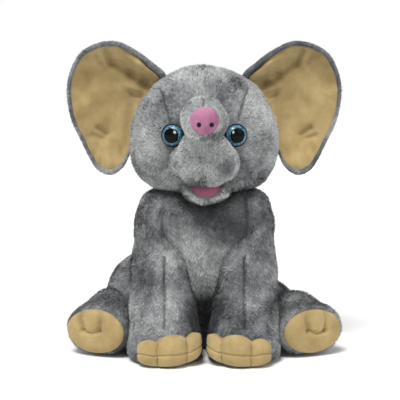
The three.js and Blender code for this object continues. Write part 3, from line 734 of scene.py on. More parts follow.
for label, side in SIDES.items():
    plant(f"head_pile_{label}", "head", head_grid, 21 + int(side), [trunk_form, jaw_form], 3.0, length=4.4,
          seams=[BROW_SEAM], dye_seed=5.0, comb=comb_face, shade=0.03,
          keep=lambda p, s=side: clear_of_eyes(p) & (p[:, 0] * s > -1.3))

# %% [markdown]
# ## The trunk
# The muzzle and trunk are cut from a shorter, paler pile. A seam runs up the middle of the muzzle and ends in
# the notch at the top of the tip.

# %% Make the trunk
TRUNK_SEAM = on_front(trunk_form, [(0, z) for z in (202, 208, 214, 220, 226, 232)])


def trunk_surface(p):
    """The trunk with its middle seam drawn in and soft puckers each side of it."""
    seam = 2.6 * seamed(p, [TRUNK_SEAM], 3.0) + 2.2 * seamed(p, [TRUNK_SEAM], 9.0)
    return trunk_form(p) + seam + 1.3 * mottle(p, 12, 6)


trunk_spine = [MUZZLE + [0, -2, -4], MUZZLE + [0, -14, 12], (0, TIP[1] + 4, TIP[2] - 14), TIP]
trunk_grid = wrap(trunk_surface, trunk_spine, 130, 160, caps=(0.3, 0.3), reach=80)
trunk_tone = 0.2 + dye_and_shade(trunk_grid, 9.0) * 0.7 - 0.6 * seamed(trunk_grid, [TRUNK_SEAM], 2.5)
trunk = skin_piece("trunk", trunk_grid, grey_backing, "trunk", trunk_tone)
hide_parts("trunk_skin", "trunk_stuffing")


FELT_COVER = 14.6  # no pile grows this close to the middle of the felt


def off_felt(p):
    """True away from the felt disc at the end of the trunk."""
    return ~((np.hypot(p[:, 0], p[:, 2] - TIP[2] + 1) < FELT_COVER) & (p[:, 1] < TIP[1]))


def comb_trunk(spots):
    """The short pile of the trunk lies down and outwards from the middle seam."""
    level = np.zeros(len(spots))
    return np.stack([0.5 * np.tanh(spots[:, 0] / 8), level, level - 0.5], axis=-1)


def trunk_shown(p):
    """The part of the trunk outside the head and off the felt."""
    return off_felt(p) & (head_form(p) > -3)


plant("trunk_pile", "trunk", trunk_grid, 31, (), length=3.4, seams=[TRUNK_SEAM], dye_seed=9.0,
      comb=comb_trunk, shade=0.36, keep=trunk_shown, slot="muzzle_plush", width=0.68, clump=3.0,
      density=1.25, pull=0.45)

# %% [markdown]
# ## The mouth
# An open smile: a patch of darker pink velour on the jaw, with the pale fringe of the lower lip round it.

# %% Make the lip and the lining
MOUTH_HALF = 18.0
MOUTH_FLOOR = 196.0


def mouth(p):
    """Positive inside the smile: above a curve that rises to its corners, and below the muzzle."""
    x = p[..., 0] - JAW[0]
    rise = MOUTH_FLOOR + 9 * (x / MOUTH_HALF) ** 2
    return np.where((np.abs(x) < MOUTH_HALF) & (p[..., 1] < JAW[1] - 8), p[..., 2] - rise, -9.0)


def lip_surface(p):
    """The jaw, hollowed inside the smile so that the lip stands up round it."""
    hollow = np.clip(mouth(p) / 3, 0, 1)
    return jaw_form(p) + 3.2 * hollow


lip_grid = wrap(lip_surface, [JAW, JAW], 90, 140, caps=(0.5, 0.5), reach=60)
lip = skin_piece("lower_lip_plush", lip_grid, grey_backing, "head", 0.25 + 0 * lip_grid[..., 0])
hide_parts("lower_lip")


def comb_lip(spots):
    """The fringe lies outwards from the mouth and down."""
    return np.stack([spots[:, 0] / 30, np.full(len(spots), -0.2), np.full(len(spots), -0.6)], axis=-1)


plant("lower_lip_pile", "head", lip_grid, 37, [trunk_form], 1.0, length=5.0, dye_seed=9.0, comb=comb_lip,
      shade=0.5, keep=lambda p: (mouth(p) < 0) & (head_form(p) > -2), width=0.6, clump=3.0, density=1.6)

# %% Velour and felt
def velour(name, stops, scale, bump_mm, sheen):
    """Short-pile fabric: a ramp over two sizes of noise, with a fine bump of fibres."""
    material, shader = new_material(name, 0.9, sheen=sheen, specular=0.1)
    patches = noise(material, 45.0, 2.0)
    fibres = noise(material, scale, 4.0, 0.7)
    value = blend_numbers(material, patches, fibres, 0.45)
    colour_by(material, shader, value, stops)
    add_bump(material, shader, fibres, 0.9, bump_mm)
    return material


TAN_STOPS = [(0.25, (140, 117, 76)), (0.5, (170, 148, 101)), (0.75, (194, 173, 127))]
tan_velour = velour("tan_velour", TAN_STOPS, 900.0, 0.7, 0.2)
PINK_STOPS = [(0.3, (132, 80, 108)), (0.5, (170, 112, 141)), (0.7, (202, 150, 176))]
pink_felt = velour("pink_felt", PINK_STOPS, 1300.0, 0.5, 0.1)
MOUTH_STOPS = [(0.25, (104, 54, 76)), (0.5, (134, 76, 100)), (0.75, (160, 100, 126))]
mouth_velour = velour("mouth_velour", MOUTH_STOPS, 1100.0, 0.4, 0.1)


# %% [markdown]
# ## Patches
# Pads, soles, the felt disc and the ear linings are patches: a front that swells between its edges, and a
# back that lies on what it is sewn to. One grid runs from the middle of the front to its edge and back to the
# middle behind, so a patch is closed like everything else.

# %% A patch from a rounded square of parameters
def patch_grid(front, back, rings, steps, square=2.0):
    """Polar grid: rho runs 0 to 1 over the front and back again behind. Its direction (u, v) is a circle for
    square = 2, and nears a square for larger powers. front and back turn (u, v) into places."""
    turn = np.linspace(0, 2 * math.pi, steps, endpoint=False)
    fit = (np.abs(np.cos(turn)) ** square + np.abs(np.sin(turn)) ** square) ** (-1 / square)
    rho = np.sin(np.linspace(0, math.pi / 2, rings))[:, None]
    u, v = rho * np.cos(turn) * fit, rho * np.sin(turn) * fit
    return np.concatenate([front(u, v), back(u, v)[::-1]])


def crown(u, v, power=2.0):
    """A pillow's height from 1 in the middle to 0 at the edge of the rounded square."""
    r = np.clip((np.abs(u) ** power + np.abs(v) ** power) ** (1 / power), 0, 1)
    return np.sqrt(1 - r**4)


def groove(distance, width):
    """The depth of a stitched line: a bell curve of the distance to it."""
    return np.exp(-((distance / width) ** 2))


# %% The mouth lining
def lining_front(u, v):
    """The smile mapped to a circle, on the hollowed jaw."""
    x = MOUTH_HALF * 0.96 * u
    low = MOUTH_FLOOR + 0.5 + 9 * (x / MOUTH_HALF) ** 2
    z = low + (v + 1) / 2 * (JAW[2] + 8 - low)
    drop = np.clip(1 - (x / JAW_HALF[0]) ** 2 - ((z - JAW[2]) / JAW_HALF[2]) ** 2, 0.05, 1)
    y = JAW[1] - JAW_HALF[1] * np.sqrt(drop) + 2.4 - 1.2 * crown(u, v)
    return np.stack([JAW[0] + x, y, z], axis=-1)


def lining_back(u, v):
    """The same patch a little further in."""
    return lining_front(u, v) + [0, 1.6, 0]


lining_grid = patch_grid(lining_front, lining_back, 24, 96, square=4.0)
lining = skin_piece("mouth_lining_velour", lining_grid, mouth_velour, "head")
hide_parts("mouth_lining")

# %% The felt disc and its nostrils
FELT_MIDDLE = TIP + [0, 0, -1.0]
FELT_HALF = (15.6, 14.8)


def tip_front(x, z, out):
    """The place on the tip's ball straight ahead of (x, z), moved out along the ball's radius."""
    flat = np.stack([x - TIP[0], np.zeros_like(x), z - TIP[2]], axis=-1) / TIP_HALF
    ahead = np.sqrt(np.clip(1 - dot(flat, flat), 0.05, 1))
    place = TIP + TIP_HALF * (flat - ahead * [0, 1, 0])
    return place + unit(place - TIP) * np.asarray(out)[..., None]


def felt_place(u, v, out):
    """A place on a rounded shield, a circle that is a little wider above, moved out from the tip."""
    wide = FELT_HALF[0] * (1 + 0.05 * v)
    return tip_front(FELT_MIDDLE[0] + wide * u, FELT_MIDDLE[2] + FELT_HALF[1] * v, out)


def felt_front(u, v):
    """The felt's slightly swollen front, pressed in where it is stitched near the edge."""
    rim = np.hypot(u, v)
    out = 1.0 + 1.3 * np.sqrt(np.clip(1 - rim**8, 0, 1)) - 0.5 * groove(rim - 0.88, 0.05)
    return felt_place(u, v, out)


def felt_back(u, v):
    """The felt's back, just under the pile."""
    return felt_place(u, v, 0.2 + 0 * u)


felt = skin_piece("trunk_felt", patch_grid(felt_front, felt_back, 40, 120), pink_felt, "trunk")
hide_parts("trunk_tip_patch")
thread, thread_shader = new_material("black_thread", 0.6, specular=0.1)
thread_value = noise(thread, 2200.0, 2.0)
colour_by(thread, thread_shader, thread_value, [(0.3, (6, 6, 7)), (0.7, (22, 22, 24))])
add_bump(thread, thread_shader, thread_value, 0.9, 0.4)

for label, side in SIDES.items():
    spot = np.array([side * 6.4 + 0.8, 0, TIP[2] - 4.6])

    def nostril_front(u, v):
        """A satin-stitched button: a dome ribbed by its threads."""
        ribs = 0.1 * np.sin(v * 22)
        return tip_front(spot[0] + 2.4 * u, spot[2] + 2.5 * v, 2.1 + (0.9 + ribs) * crown(u, v))

    def nostril_back(u, v):
        """The stitches' foot in the felt."""
        return tip_front(spot[0] + 2.4 * u, spot[2] + 2.5 * v, 1.6 + 0 * u)

    nostril = skin_piece(f"{label}_nostril_stitch", patch_grid(nostril_front, nostril_back, 14, 48), thread,
                         "trunk")
    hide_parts(f"{label}_nostril")

# %% [markdown]
# ## The eyes
# A safety eye is a clear dome over a disc of glitter and a black pupil. Seen through the dome both fill it,
# so each is a dome-shaped piece here: the glitter under a clear coat, the pupil smooth and glossy. The
# glitter is a fine pattern of cells, each painted with its own brightness: a painted glint, which stands for
# the light that each flake throws back from its own angle.
# A dark rim holds the eye.

# %% Eye materials
def moulded(name, roughness, specular, lumps, stops):
    """Moulded plastic: an even gloss and a colour that clouds a little, with lumps counted over a metre."""
    material, shader = new_material(name, roughness, specular=specular)
    colour_by(material, shader, noise(material, lumps, 2.0), stops)
    return material


PUPIL_EDGE = 8.9
dark_plastic = moulded("dark_plastic", 0.12, 0.12, 500.0, [(0.3, (3, 3, 4)), (0.7, (9, 9, 11))])
pale_plastic = moulded("pale_plastic", 0.45, 0.5, 300.0, [(0.3, (218, 218, 214)), (0.7, (238, 238, 234))])
glitter, glitter_shader = new_material("blue_glitter", 0.35, specular=0.3)
glitter_shader.inputs["Coat Weight"].default_value = 0.5
glitter_shader.inputs["Coat Roughness"].default_value = 0.03
flakes = add_node(glitter, "ShaderNodeTexVoronoi")
flakes.inputs["Scale"].default_value = 1300.0
glitter_place = add_node(glitter, "ShaderNodeTexCoord")
glitter.node_tree.links.new(glitter_place.outputs["Object"], flakes.inputs["Vector"])
flake_glint = add_node(glitter, "ShaderNodeSeparateColor")
glitter.node_tree.links.new(flakes.outputs["Color"], flake_glint.inputs["Color"])
# Painted glint: the palest stops are for the cells that stand for flakes catching the light.
GLITTER_AND_GLINT_STOPS = [(0.0, (5, 18, 30)), (0.4, (16, 66, 96)), (0.75, (48, 122, 160)), (1.0, (160, 208, 226))]
colour_by(glitter, glitter_shader, flake_glint.outputs["Red"], GLITTER_AND_GLINT_STOPS)
add_bump(glitter, glitter_shader, flakes.outputs["Distance"], 0.5, 0.3)

# %% Turn the eyes
def lathe(at, ahead, profile, steps=64):
    """A turned solid: (radius, height) pairs swept round the line that the eye looks along."""
    ahead = unit(np.array(ahead))
    across = unit(np.cross([0, 0, 1.0], ahead))
    over = np.cross(ahead, across)
    turn = np.linspace(0, 2 * math.pi, steps, endpoint=False)
    ring = np.cos(turn)[:, None] * across + np.sin(turn)[:, None] * over
    radius, height = np.array(profile, float).T
    return np.array(at) + radius[:, None, None] * ring + height[:, None, None] * ahead


EYE_SPOT = np.array([26, -69.1, -1])  # where the left eye sits, seen from the middle of the head
QUARTER = np.linspace(0, math.pi / 2, 34)
dome = [(EYE_RADIUS * math.sin(angle), 8.0 * math.cos(angle) - 0.8) for angle in QUARTER]
rim_profile = [
    (0, -2.0), (EYE_RADIUS, -2.0), (EYE_RADIUS + 0.8, -0.6), (EYE_RADIUS + 0.9, 0.6), (EYE_RADIUS + 0.3, 1.3),
    (EYE_RADIUS - 0.5, 1.0), (EYE_RADIUS - 0.5, 0.1), (0, 0.1),
]

for label, side in SIDES.items():
    seat = EYE_FACE[side]
    ahead = unit(EYE_SPOT * [side, 1, 1] / HEAD_HALF**2)  # square to the head's oval there
    pupil_dome = [(0, 0.2), (PUPIL_EDGE, 0.2)] + [(r, h) for r, h in reversed(dome) if r < PUPIL_EDGE]
    iris_dome = [(0, 0.0), (EYE_RADIUS, 0.0)] + [(r, h - 0.12) for r, h in reversed(dome)]
    parts = {
        "glitter": (glitter, "glitter_blue", ["eye_iris", "eye_dome"], iris_dome),
        "pupil": (dark_plastic, "black_plastic", ["eye_pupil"], pupil_dome),
    }
    for part, (material, slot, replaced, profile) in parts.items():
        piece = skin_piece(f"{label}_eye_{part}", lathe(seat, ahead, profile), material, "head")
        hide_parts(*[f"{label}_{node}" for node in replaced])
    skin_piece(f"{label}_eye_rim", lathe(seat, ahead, rim_profile), dark_plastic, "head")

# %% [markdown]
# ## The ears
# Two sheets sewn edge to edge and turned: the grey back is a little larger, so it rolls round to the front
# and frames the tan lining. The ear is cupped, and where it is gathered into the head the lining folds. A
# fold here is a ridge or a valley along a short line, which fades at its ends.

# %% The outline and the folds of an ear
EAR_OUTLINE = [
    (84, 254), (68, 296), (45, 331), (64, 353), (87, 369), (108, 377), (132, 373), (151, 360), (163, 335),
    (165, 310), (160, 282), (149, 258), (138, 235), (128, 221), (113, 216), (99, 225), (91, 240),
]
EAR_MIDDLE = np.array([110.0, 300.0])
EAR_FOLDS = [  # from (across, up), to (across, up), rise, half width
    ((108, 352), (88, 338), -7.0, 6.0), ((88, 338), (72, 328), -8.0, 6.5),
    ((72, 328), (52, 320), -8.0, 7.0), ((98, 363), (78, 349), 4.5, 6.0),
    ((78, 349), (58, 334), 4.5, 6.5), ((116, 365), (112, 350), -4.5, 3.4),
    ((123, 362), (119, 348), 3.5, 4.0), ((129, 361), (125, 353), -3.5, 3.0),
    ((145, 350), (138, 336), -2.5, 5.0), ((86, 314), (76, 310), -4.5, 4.0),
    ((92, 322), (80, 318), 3.0, 4.5), ((84, 298), (93, 246), -7.0, 10.0),
    ((129, 272), (119, 264), -4.5, 3.4), ((136, 263), (122, 258), -4.0, 3.2),
    ((126, 279), (140, 300), 3.0, 8.0), ((118, 250), (112, 230), 3.5, 8.0),
    ((112, 334), (136, 306), 3.0, 12.0),
]


def closed_curve(points, steps):
    """A smooth closed line through some points: Catmull-Rom, a cubic through each pair that heads from the
    point before to the point after."""
    points = np.array(points, float)
    place = np.linspace(0, len(points), steps, endpoint=False)
    i = np.floor(place).astype(int)
    t = (place - i)[:, None]
    a, b, c, d = (points[(i + k) % len(points)] for k in (-1, 0, 1, 2))
    return 0.5 * (2 * b + (c - a) * t + (2 * a - 5 * b + 4 * c - d) * t**2 + (3 * b - 3 * c + d - a) * t**3)


def fold_height(x, z):
    """How far forward the folds push a place: each is a bell curve across its line, fading past its ends."""
    height = np.zeros_like(x)
    for (x0, z0), (x1, z1), rise, width in EAR_FOLDS:
        dx, dz = x1 - x0, z1 - z0
        share = np.clip(((x - x0) * dx + (z - z0) * dz) / (dx * dx + dz * dz), 0, 1)
        away = np.hypot(x - x0 - share * dx, z - z0 - share * dz)
        height += rise * np.exp(-((away / width) ** 2))
    return height


EAR_STEPS = 180
ear_edge = closed_curve(EAR_OUTLINE, EAR_STEPS)


def ear_surface(level, lift, side, fold_share=1.0):
    """Places on an ear: the outline shrunk towards its middle by level, cupped so that the rim comes
    forward, folded, and lifted back by lift. level and lift are lists of rows."""
    level = np.asarray(level, float)
    level = level[:, None] if level.ndim == 1 else level
    x = EAR_MIDDLE[0] + (ear_edge[:, 0] - EAR_MIDDLE[0]) * level
    z = EAR_MIDDLE[1] + (ear_edge[:, 1] - EAR_MIDDLE[1]) * level
    top = np.clip((z - 330) / 40, 0, 1)
    cup = 12 - (18 + 5 * top) * level**2
    fade = np.clip((1.02 - level) / 0.16, 0, 1)
    folds = fold_height(x, z) * fade * fold_share
    uneven = 0.6 * mottle(np.stack([x * side, 0 * x, z], axis=-1), 17, 12)
    y = Y_SHIFT + cup - folds + uneven * fade + np.asarray(lift, float)[:, None]
    return np.stack([x, y, z], axis=-1)


def ear_turn(x, z):
    """The direction of a place from the middle of an ear, in degrees."""
    return np.degrees(np.arctan2(z - EAR_MIDDLE[1], x - EAR_MIDDLE[0])) % 360


EAR_ORDER = np.argsort(ear_turn(*ear_edge.T))


def ear_level(x, z):
    """How far out a place lies on an ear: 0 in the middle and 1 on the outline."""
    out = ear_edge - EAR_MIDDLE
    turns = ear_turn(*ear_edge.T)[EAR_ORDER]
    reach = np.interp(ear_turn(x, z), turns, np.linalg.norm(out, axis=1)[EAR_ORDER], period=360)
    return np.hypot(x - EAR_MIDDLE[0], z - EAR_MIDDLE[1]) / reach


def lining_share(turn):
    """The lining's reach in each direction: less at the top inner edge, where the grey back rolls over."""
    return 1.01 - 0.07 * np.exp(-(((turn - 140) / 26) ** 2))

# %% Make the ears
SHELL_ROWS = 26
LINING_ROWS = 40
EAR_GATHERS = 17  # small puckers round the edge of the lining

for label, side in SIDES.items():
    front = np.linspace(0, 0.9, SHELL_ROWS)
    bead_level = [0.915, 0.93, 0.95, 0.97, 0.99, 1.0, 0.995, 0.975, 0.94]
    bead_lift = [0.6, -1.6, -2.9, -3.1, -1.8, 0.8, 3.0, 4.8, 5.8]
    behind = np.linspace(0.9, 0, SHELL_ROWS)
    levels = np.concatenate([front, bead_level, behind])
    lifts = np.concatenate([np.full(SHELL_ROWS, 2.6), bead_lift, np.linspace(6.2, 7.5, SHELL_ROWS)])
    shell = ear_surface(levels, lifts, side)
    shell[..., 0] *= side
    if side > 0:
        shell = shell[:, ::-1]
    shell_tone = dye_and_shade(shell, 3.0) - 0.2
    ear = skin_piece(f"{label}_ear", shell, grey_backing, f"{label}_ear", shell_tone)
    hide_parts(f"{label}_ear_back")
    rim = shell[20:]

    def off_lining(p):
        """True where the tan lining doesn't cover the grey back."""
        x, z = p[:, 0] * side, p[:, 2]
        behind = p[:, 1] > Y_SHIFT + 8
        return behind | (ear_level(x, z) > 0.925 * lining_share(ear_turn(x, z)))

    plant(f"{label}_ear_pile", f"{label}_ear", rim, 41 + int(side), [head_form], 3.0, length=4.4,
          dye_seed=3.0, shade=0.08, density=0.95, keep=off_lining,
          comb=lambda p, s=side: unit(p - [s * EAR_MIDDLE[0], p[0, 1], EAR_MIDDLE[1]]) * 0.7 + [0, 0, -0.2])
    out_and_back = np.linspace(0, 0.9, LINING_ROWS), np.linspace(0.9, 0, LINING_ROWS)
    lining_level = np.concatenate([out_and_back[0], [0.925, 0.94, 0.935, 0.92], out_and_back[1]])
    lining_lift = np.concatenate(
        [np.full(LINING_ROWS, -0.6), [-0.2, 0.8, 1.4, 1.6], np.full(LINING_ROWS, 1.5)])
    lining_reach = lining_level[:, None] * lining_share(ear_turn(*ear_edge.T))
    lining_grid = ear_surface(lining_reach, lining_lift, side)
    gathers = np.sin(np.linspace(0, 2 * math.pi * EAR_GATHERS, EAR_STEPS))
    pucker = np.clip((lining_level - 0.6) / 0.3, 0, 1)[:, None] * gathers
    lining_grid[..., 1] += 0.55 * pucker
    lining_grid[..., 0] *= side
    if side > 0:
        lining_grid = lining_grid[:, ::-1]
    lining = skin_piece(f"{label}_ear_velour", lining_grid, tan_velour, f"{label}_ear")
    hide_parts(f"{label}_ear_lining")

# %% [markdown]
# ## The front legs
# Columns with a ball in the shoulder, so that they swing without opening a gap. A seam runs down the front
# of each. The tan toes are a pad sewn on the foot: three pillows between stitched lines and a seam across.

# %% Make the front legs
LEG_SEAM = on_front(lambda p: front_leg_form(p, 1.0), [(47, z) for z in range(44, 126, 9)])
TOES = [(-0.69, 0.31, 0.88), (0.0, 0.38, 1.0), (0.69, 0.31, 0.92)]
TOE_TURN = math.radians(60)
TOE_SQUARE = 3.2  # how boxy the pad's outline is: 2 is an oval
TOE_IN = math.radians(12)  # the feet are turned in a little
TOE_TOP = 39.0
TOE_LOW = 2.2
FOOT_RADIUS = 42.5


def toe_top(u):
    """The arched top edge of the pad: the tallest toe's pillow at each place across, from 0 to 1."""
    arches = [high * np.clip(1 - ((u - at) / (half * 1.9)) ** 2, 0, 1) ** 0.5 for at, half, high in TOES]
    return np.maximum.reduce(arches)


def toe_rise(inward):
    """The pad's lower edge rises towards the inner side of the foot."""
    return 8.0 * np.clip(inward, 0, 1) ** 1.5


for label, side in SIDES.items():
    body = f"{label}_front_leg"

    def leg_surface(p):
        """A front leg with its seam drawn in and a slightly uneven filling."""
        return front_leg_form(p, side) + 0.9 * seamed(p, [LEG_SEAM], 2.6) + 0.8 * mottle(p, 22, 14 + side)

    foot_at = FOOT * [side, 1, 1]
    spine = [foot_at, [side * 47.0, Y_SHIFT - 50, 60.0], SHOULDER * [side, 1, 1]]
    leg_grid = wrap(leg_surface, spine, 150, 150, caps=(0.2, 0.2), reach=90)
    leg_tone = dye_and_shade(leg_grid, 7.0 + side) - 0.2 - 0.5 * seamed(leg_grid, [LEG_SEAM], 2.4)
    leg = skin_piece(f"{label}_front_leg_plush", leg_grid, grey_backing, body, leg_tone)
    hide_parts(f"{label}_front_leg_skin", f"{label}_front_leg_stuffing")

    def off_pad(p):
        """True where the toe pad doesn't cover the foot."""
        turn = np.arctan2(p[:, 0] - foot_at[0], -(p[:, 1] - foot_at[1])) + side * TOE_IN
        u = np.clip(turn / TOE_TURN, -1, 1)
        high = p[:, 2] - toe_rise(-side * u)
        v = 2 * (high - TOE_LOW) / (TOE_TOP * toe_top(u) - TOE_LOW) - 1
        near = (np.abs(u) ** TOE_SQUARE + np.abs(v) ** TOE_SQUARE < 0.86) & (np.abs(turn) < TOE_TURN)
        return ~near & (p[:, 2] > 1.5)

    plant(f"{label}_front_leg_pile", body, leg_grid, 51 + int(side), [torso_form], 9.0, length=4.6,
          dye_seed=7.0 + side, seams=[LEG_SEAM], keep=off_pad)

    def pad_place(u, v, out):
        """A place on the foot: u turns round it and v goes up its front, moved out from the foot's axis."""
        turn = TOE_TURN * u - side * TOE_IN
        high = TOE_LOW + (v + 1) / 2 * (TOE_TOP * np.clip(toe_top(u), 0.3, 1) - TOE_LOW)
        flare = 0.95 + 0.05 * np.clip(high / 12, 0, 1)
        taper = np.sqrt(1 - 0.14 * np.clip((high - 14) / 25, 0, 1) ** 2)
        radius = FOOT_RADIUS * flare * taper + out
        high = high + toe_rise(-side * u)
        x = foot_at[0] + radius * np.sin(turn)
        y = foot_at[1] - radius * np.cos(turn)
        return np.stack([x, y, high], axis=-1)

    def pad_front(u, v):
        """Three toes: each a pillow across its width, with grooves between them and a seam across them."""
        pillows = [np.clip(1 - ((u - at) / half / 1.02) ** 2, 0, 1) ** 0.5 for at, half, _ in TOES]
        swell = np.maximum.reduce(pillows)
        across = groove(v + 0.14 + 0.05 * np.cos(4 * u), 0.07)
        out = 0.6 + (7.5 * swell + 0.4) * crown(0 * u, v) * crown(u, 0 * v) ** 0.6 - 1.6 * across
        return pad_place(u, v, out)

    pad_grid = patch_grid(pad_front, lambda u, v: pad_place(u, v, 0 * u - 1.2), 70, 260, square=TOE_SQUARE)
    pad = skin_piece(f"{label}_front_toes", pad_grid, tan_velour, body)
    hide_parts(f"{label}_front_toe_pad")

# %% [markdown]
# ## The hind legs
# They lie splayed on the floor with the soles forward. Each sole is an oval cushion with two curved lines of
# stitches, pulled into a dimple where they end, which divides three toes.

# %% Make the hind legs
SOLE_HALF = np.array([38.5, 26.5])
SOLE_DIMPLES = [(-0.2, 0.02), (0.36, 0.0)]
SOLE_LINES = [  # stitched lines and how deep each is drawn
    ([(-0.22, 1.0), (-0.26, 0.5), SOLE_DIMPLES[0]], 5.4),
    ([(0.42, 0.92), (0.46, 0.5), SOLE_DIMPLES[1]], 5.4),
    ([SOLE_DIMPLES[0], (0.08, -0.08), SOLE_DIMPLES[1]], 3.2),
]

for label, side in SIDES.items():
    body = f"{label}_hind_leg"
    across, up, ahead = hind_axes(side)
    hip = HIP * [side, 1, 1]

    def hind_surface(p):
        """A hind leg with a slightly uneven filling."""
        return hind_leg_form(p, side) + 0.8 * mottle(p, 22, 17 + side)

    axes = np.array([across, up, ahead])
    spine = [hip, hip + 34 * ahead - 5 * up]
    leg_grid = wrap(hind_surface, spine, 120, 150, caps=(0.25, 0.35), axes=axes, reach=80)
    leg_tone = dye_and_shade(leg_grid, 12.0 + side) - 0.2
    leg = skin_piece(f"{label}_hind_leg_plush", leg_grid, grey_backing, body, leg_tone)
    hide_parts(f"{label}_hind_leg_skin", f"{label}_hind_leg_stuffing")
    sole_at = hip + HIND_LENGTH * ahead - SOLE_DROP * up

    def off_sole(p):
        """True away from the tan sole."""
        q = p - sole_at
        near = np.hypot((q @ across) / SOLE_HALF[0], (q @ up) / SOLE_HALF[1]) < 0.98
        return ~(near & (q @ ahead > -6)) & (p[:, 2] > 1.5)

    plant(f"{label}_hind_leg_pile", body, leg_grid, 61 + int(side), [torso_form], 5.0, length=4.6,
          dye_seed=12.0 + side, keep=off_sole,
          comb=lambda p, a=ahead: np.broadcast_to(0.45 * a + [0, 0, -0.35], p.shape))

    def sole_place(u, v, out):
        """A place on the sole: u across it, v up it, moved out along the leg."""
        q = SOLE_HALF[0] * u[..., None] * across + SOLE_HALF[1] * v[..., None] * up
        return sole_at + q + np.asarray(out)[..., None] * ahead

    def line_distance(u, v, points):
        """Distance to a stitched line in the sole's own coordinates, where its half width is 1."""
        nearest = np.full(u.shape, 9.0)
        for (a, b), (c, d) in zip(points[:-1], points[1:]):
            share = np.clip(((u - a) * (c - a) + (v - b) * (d - b)) / ((c - a) ** 2 + (d - b) ** 2), 0, 1)
            nearest = np.minimum(nearest, np.hypot(u - a - share * (c - a), v - b - share * (d - b)))
        return nearest

    def sole_front(u, v):
        """A crowned oval, drawn in along the stitches and deepest at the two dimples."""
        drawn = np.maximum.reduce([
            depth * groove(line_distance(u * side, v, points), 0.09)
            for points, depth in SOLE_LINES
        ])
        dimples = sum(2.6 * groove(np.hypot(u * side - a, v - b), 0.1) for a, b in SOLE_DIMPLES)
        edge = crown(u, v)
        return sole_place(u, v, 0.4 + 7.4 * edge - (drawn + dimples) * edge)

    sole_grid = patch_grid(sole_front, lambda u, v: sole_place(u, v, -3.0 + 0 * u), 80, 180)
    sole = skin_piece(f"{label}_hind_sole", sole_grid, tan_velour, body)
    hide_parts(f"{label}_hind_sole_pad")

# %% [markdown]
# ## The tail
# A thin stuffed tube with a tuft of long pile at its end. It hangs behind, so it is seen only from the back.

# %% Make the tail
TAIL_FOOT = TAIL + [0, 11.0, -46.0]


def tail_form(p):
    """A round rod: the distance to the line from root to foot, less a radius that narrows."""
    line = TAIL_FOOT - TAIL
    share = np.clip((p - TAIL) @ line / (line @ line), 0, 1)
    return np.linalg.norm(p - TAIL - share[..., None] * line, axis=-1) - (5.4 - 1.4 * share)


tail_along = unit(TAIL - TAIL_FOOT)
tail_axes = np.array([[1.0, 0, 0], np.cross(tail_along, [1.0, 0, 0]), tail_along])
tail_grid = wrap(tail_form, [TAIL_FOOT, TAIL], 60, 40, caps=(0.2, 0.2), axes=tail_axes, reach=20)
tail_piece = skin_piece("tail_plush", tail_grid, grey_backing, "tail", dye_and_shade(tail_grid) - 0.2)
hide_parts("tail")
plant("tail_pile", "tail", tail_grid, 71, (), length=4.0, density=1.2, shade=0.15)
tuft_at = TAIL_FOOT + [0, 1.0, -3.0]
TUFT_HALF = np.array([5.0, 5.0, 9.0])
tuft_grid = wrap(lambda p: ball(p, tuft_at, TUFT_HALF), [tuft_at, tuft_at], 40, 40, caps=(0.5, 0.5), reach=20)
tuft = skin_piece("tail_tuft_plush", tuft_grid, grey_backing, "tail", dye_and_shade(tuft_grid) - 0.25)
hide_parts("tail_tuft")
plant("tail_tuft_pile", "tail", tuft_grid, 72, (), length=9.0, shade=0.05, density=2.0, clump=6.0)

# %% [markdown]
# ## What is inside
# The neck's plug, the eyes' stems and their locking washers are out of sight at rest. They stay as the packed
# model has them and get their own materials: the neck's is the backing cloth, in its darkest grey.

# %% Finish the hidden nodes
hidden_finish = {"neck_stuffing": grey_backing}  # it shows when the head is lifted
for label in SIDES:
    hidden_finish[f"{label}_eye_stem"] = dark_plastic
    hidden_finish[f"{label}_eye_washer"] = pale_plastic
for node, material in hidden_finish.items():
    for place in frame["nodes"][node].material_slots:
        place.material = material
print("finished", len(hidden_finish), "packed nodes")

# %% [markdown]
# ## The studio
# A plain pale floor, one soft light above the camera, a fill on the other side, a small one for the glint in
# the eyes, and an even white surround, so that shadows stay soft.

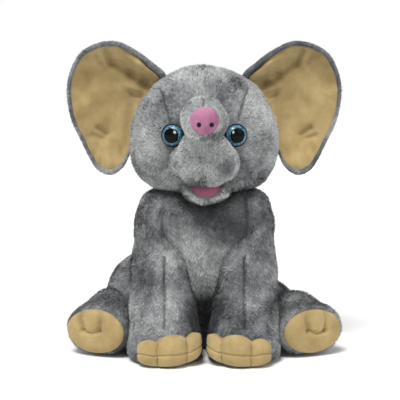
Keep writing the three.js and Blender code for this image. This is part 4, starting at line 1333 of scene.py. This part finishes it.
# %% Floor, lights and surround
floor_mesh = bpy.data.meshes.new("studio_floor")
FLOOR_REACH = 6.0
floor_mesh.from_pydata(
    [(-FLOOR_REACH, -FLOOR_REACH, 0), (FLOOR_REACH, -FLOOR_REACH, 0), (FLOOR_REACH, FLOOR_REACH, 0),
     (-FLOOR_REACH, FLOOR_REACH, 0)], [], [(0, 1, 2, 3)])
floor = bpy.data.objects.new("studio_floor", floor_mesh)
bpy.context.scene.collection.objects.link(floor)
floor_material, floor_shader = new_material("studio_floor", 0.9, specular=0.1)
floor_shader.inputs["Base Color"].default_value = (0.94, 0.94, 0.94, 1)
floor_mesh.materials.append(floor_material)


def add_light(name, kind, place, power):
    """A light that faces the toy's middle."""
    data = bpy.data.lights.new(name, kind)
    data.energy = power
    light = bpy.data.objects.new(name, data)
    light.location = place
    light.rotation_euler = (Vector((0, 0, 0.2)) - Vector(place)).to_track_quat("-Z", "Y").to_euler()
    bpy.context.scene.collection.objects.link(light)
    return light


key_light = add_light("key_light", "SUN", (-0.9, -1.9, 4.2), 2.9)
key_light.data.angle = 0.42  # soft shadows: it looks as wide as a large soft box
fill_light = add_light("fill_light", "AREA", (3.0, -2.4, 2.2), 26.0)
fill_light.data.size = 2.8
catch_light = add_light("catch_light", "AREA", (-0.1, -1.5, 0.85), 60.0)
catch_light.data.size = 0.5
catch_light.visible_diffuse = False  # it only shows as the glint in the eyes
world = bpy.data.worlds.new("studio_surround")
world.use_nodes = True
surround = world.node_tree.nodes["Background"]
surround.inputs["Color"].default_value = (1.0, 1.0, 1.0, 1.0)
rays = world.node_tree.nodes.new("ShaderNodeLightPath")
glow = world.node_tree.nodes.new("ShaderNodeMapRange")
glow.inputs["To Min"].default_value = 0.46  # what lights the toy
glow.inputs["To Max"].default_value = 1.0  # what shows behind it
world.node_tree.links.new(rays.outputs["Is Camera Ray"], glow.inputs["Value"])
world.node_tree.links.new(glow.outputs["Result"], surround.inputs["Strength"])
bpy.context.scene.world = world
bpy.context.scene.view_settings.view_transform = "Standard"
